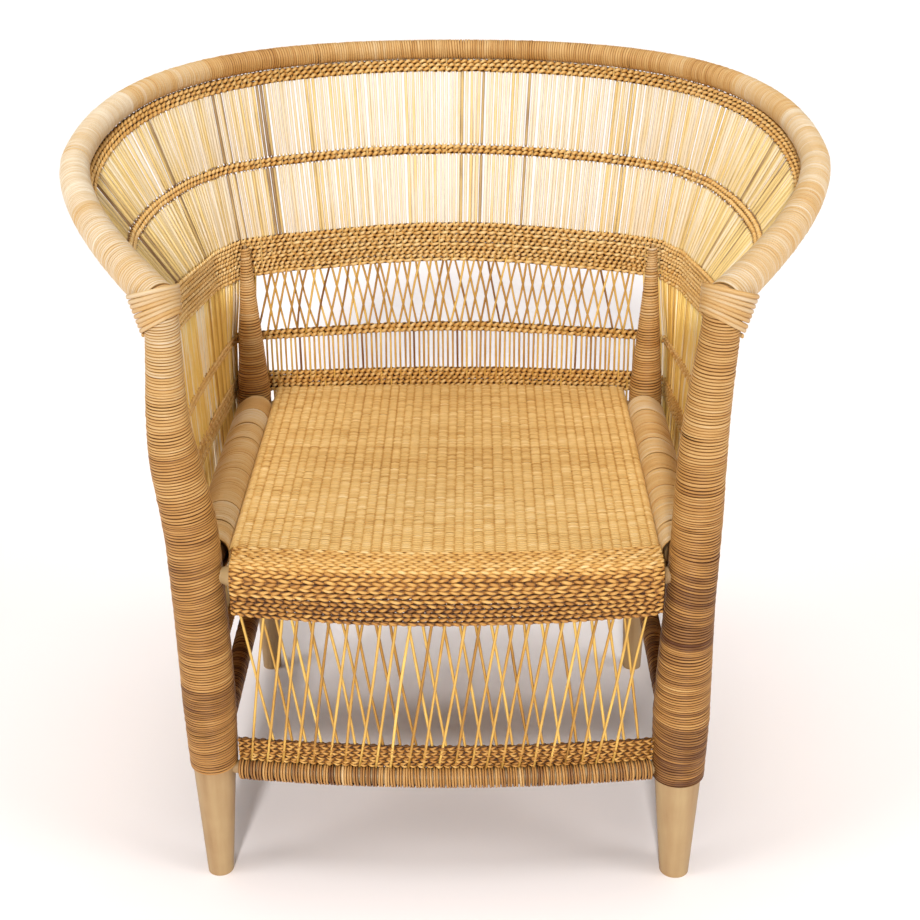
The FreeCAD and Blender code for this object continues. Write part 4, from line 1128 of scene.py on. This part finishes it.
roll_rows = level_rows(1.0, 4.6, 9, *ROLL_ENDS, stitch=11.6, lean=0.75, tone=0.72, depth=1.0,
                        girth=0.5)
roll_rows += level_rows(42.5, 4.5, 7, *ROLL_ENDS, stitch=11.6, lean=0.85, tone=0.58, depth=1.4,
                        girth=0.43)
roll_rows += level_rows(74.0, 4.4, 5, *ROLL_ENDS, stitch=9.0, lean=0.85, tone=0.48, depth=1.4,
                        girth=0.42)
rows_piece("roll_twining", "front_roll", roll_face, roll_rows, "seat_weave")


# Arm lashings: turns, foot and height on the leg, and how far they spread towards the top

LASHING_TURNS = 8
LASHING_FOOT_Z = 649.0
LASHING_HEIGHT = 34.0
LASHING_SPREAD = 5.0
LASHING_LEG_Z = 640.0


def lashing(side):
    """Slanted turns that tie the rail's end to the leg: high towards the front and the inside, widest at the top."""
    strands = Strands()
    turns, around = LASHING_TURNS, 44
    turn = np.linspace(0, turns, turns * around)
    share = turn / turns
    angle = 2 * np.pi * turn
    reach = front_radius(side, LASHING_LEG_Z) + SKIN + 1.6 + LASHING_SPREAD * share
    axis = leg_axis(side, LASHING_FOOT_Z + LASHING_HEIGHT * share) * [side, 1, 1]
    centre = axis + rows_of(3.0 * share, -2.5 * share, 0.0)
    slope = (0.6 - 0.34 * share) * np.cos(angle) + 0.3 * np.sin(angle)
    rise = -reach * slope + 0.4 * wander(len(turn), around, 1.0)
    flat_out = rows_of(np.cos(angle), np.sin(angle), 0.0)
    path = centre + flat_out * reach[:, None] + rows_of(0 * rise, 0.0, rise)
    path, out = path * [side, 1, 1], flat_out * [side, 1, 1]
    tangent = unit(np.gradient(path, axis=0))
    up = unit(np.cross(tangent, out))
    tone = 0.66 + 0.06 * wander(len(turn), around, 1.0)
    strands.sweep(path, up, np.cross(up, tangent), 2.3, 1.7, oval(10), tone)
    return strands


for side_name, side in (("left", -1), ("right", 1)):
    lashing(side).piece(f"arm_binding_{side_name}", CANE_WRAP, "cane_wrap", f"arm_lashing_{side_name}")


# Finish of the poles and nails that stay as they are

for subpart in frame["record"]["subparts"]:
    material = {"bare_pole": BARE_POLE, "nail": NAIL}.get(subpart["material_slot"])
    if material:
        mesh = frame["nodes"][subpart["node"]].data
        mesh.materials.clear()
        mesh.materials.append(material)


# Floor, light and camera

def floor():
    mesh = bpy.data.meshes.new("floor")
    size = 20.0
    mesh.from_pydata([(-size, -size, 0), (size, -size, 0), (size, size, 0), (-size, size, 0)], [], [(0, 1, 2, 3)])
    material, tree, shader = new_material("floor")
    shader.inputs["Base Color"].default_value = (0.95, 0.885, 0.865, 1.0)
    shader.inputs["Roughness"].default_value = 0.9
    mesh.materials.append(material)
    made = bpy.data.objects.new("floor", mesh)
    bpy.context.scene.collection.objects.link(made)


def sun(name, direction, strength, spread):
    """A sun from a direction given as degrees to the right of the front and degrees above the floor."""
    turn, height = (math.radians(a) for a in direction)
    light = bpy.data.lights.new(name, "SUN")
    light.energy = strength
    light.angle = math.radians(spread)
    made = bpy.data.objects.new(name, light)
    place = Vector((math.sin(turn) * math.cos(height), -math.cos(turn) * math.cos(height), math.sin(height)))
    made.rotation_euler = (-place).to_track_quat("-Z", "Y").to_euler()
    bpy.context.scene.collection.objects.link(made)


def world():
    """Dim white surroundings with a bright horizon."""
    white, grey, black = (1.0, 1.0, 1.0), (0.6, 0.59, 0.58), (0.0, 0.0, 0.0)
    horizon_top, dim = 0.12, 0.1
    made = bpy.data.worlds.new("studio")
    made.use_nodes = True
    tree = made.node_tree
    background = tree.nodes["Background"]
    height = node(tree, "ShaderNodeSeparateXYZ")
    tree.links.new(node(tree, "ShaderNodeTexCoord").outputs["Generated"], height.inputs["Vector"])
    sky = ramp(tree, height.outputs["Z"], ((0.0, white), (horizon_top, grey), (1.0, white)))
    tree.links.new(sky, background.inputs["Color"])
    horizon = ramp(tree, height.outputs["Z"], ((0.0, white), (horizon_top, black)))
    tree.links.new(maths(tree, "ADD", horizon, dim), background.inputs["Strength"])
    bpy.context.scene.world = made


def camera():
    """The photograph's camera: place in millimetres, angles in degrees, focal length in pixels of a 920-pixel
    frame."""
    place = np.array([29.65, -1567.4, 1144.45])
    pitch, yaw, roll = (math.radians(a) for a in (25.33, -0.56, -0.27))
    focal, frame_width, sensor = 1538.83, 920.0, 36.0
    right = Vector((math.cos(yaw), -math.sin(yaw), 0.0))
    forward = Vector((math.sin(yaw) * math.cos(pitch), math.cos(yaw) * math.cos(pitch), -math.sin(pitch)))
    up = right.cross(forward)
    turned_right = right * math.cos(roll) + up * math.sin(roll)
    turned_up = up * math.cos(roll) - right * math.sin(roll)
    data = bpy.data.cameras.new("camera")
    data.sensor_width = sensor
    data.lens = focal / frame_width * sensor
    made = bpy.data.objects.new("camera", data)
    axes = Matrix((turned_right, turned_up, -forward)).transposed().to_4x4()
    made.matrix_world = Matrix.Translation((place + SHIFT) * MM) @ axes
    bpy.context.scene.collection.objects.link(made)
    bpy.context.scene.camera = made


floor()
world()
camera()
sun("key", (-4, 27), 2.5, 6)
sun("left", (-70, 30), 0.85, 25)
sun("right", (70, 30), 0.85, 25)
sun("overhead", (0, 90), 1.65, 40)
bpy.context.scene.view_settings.view_transform = "Standard"
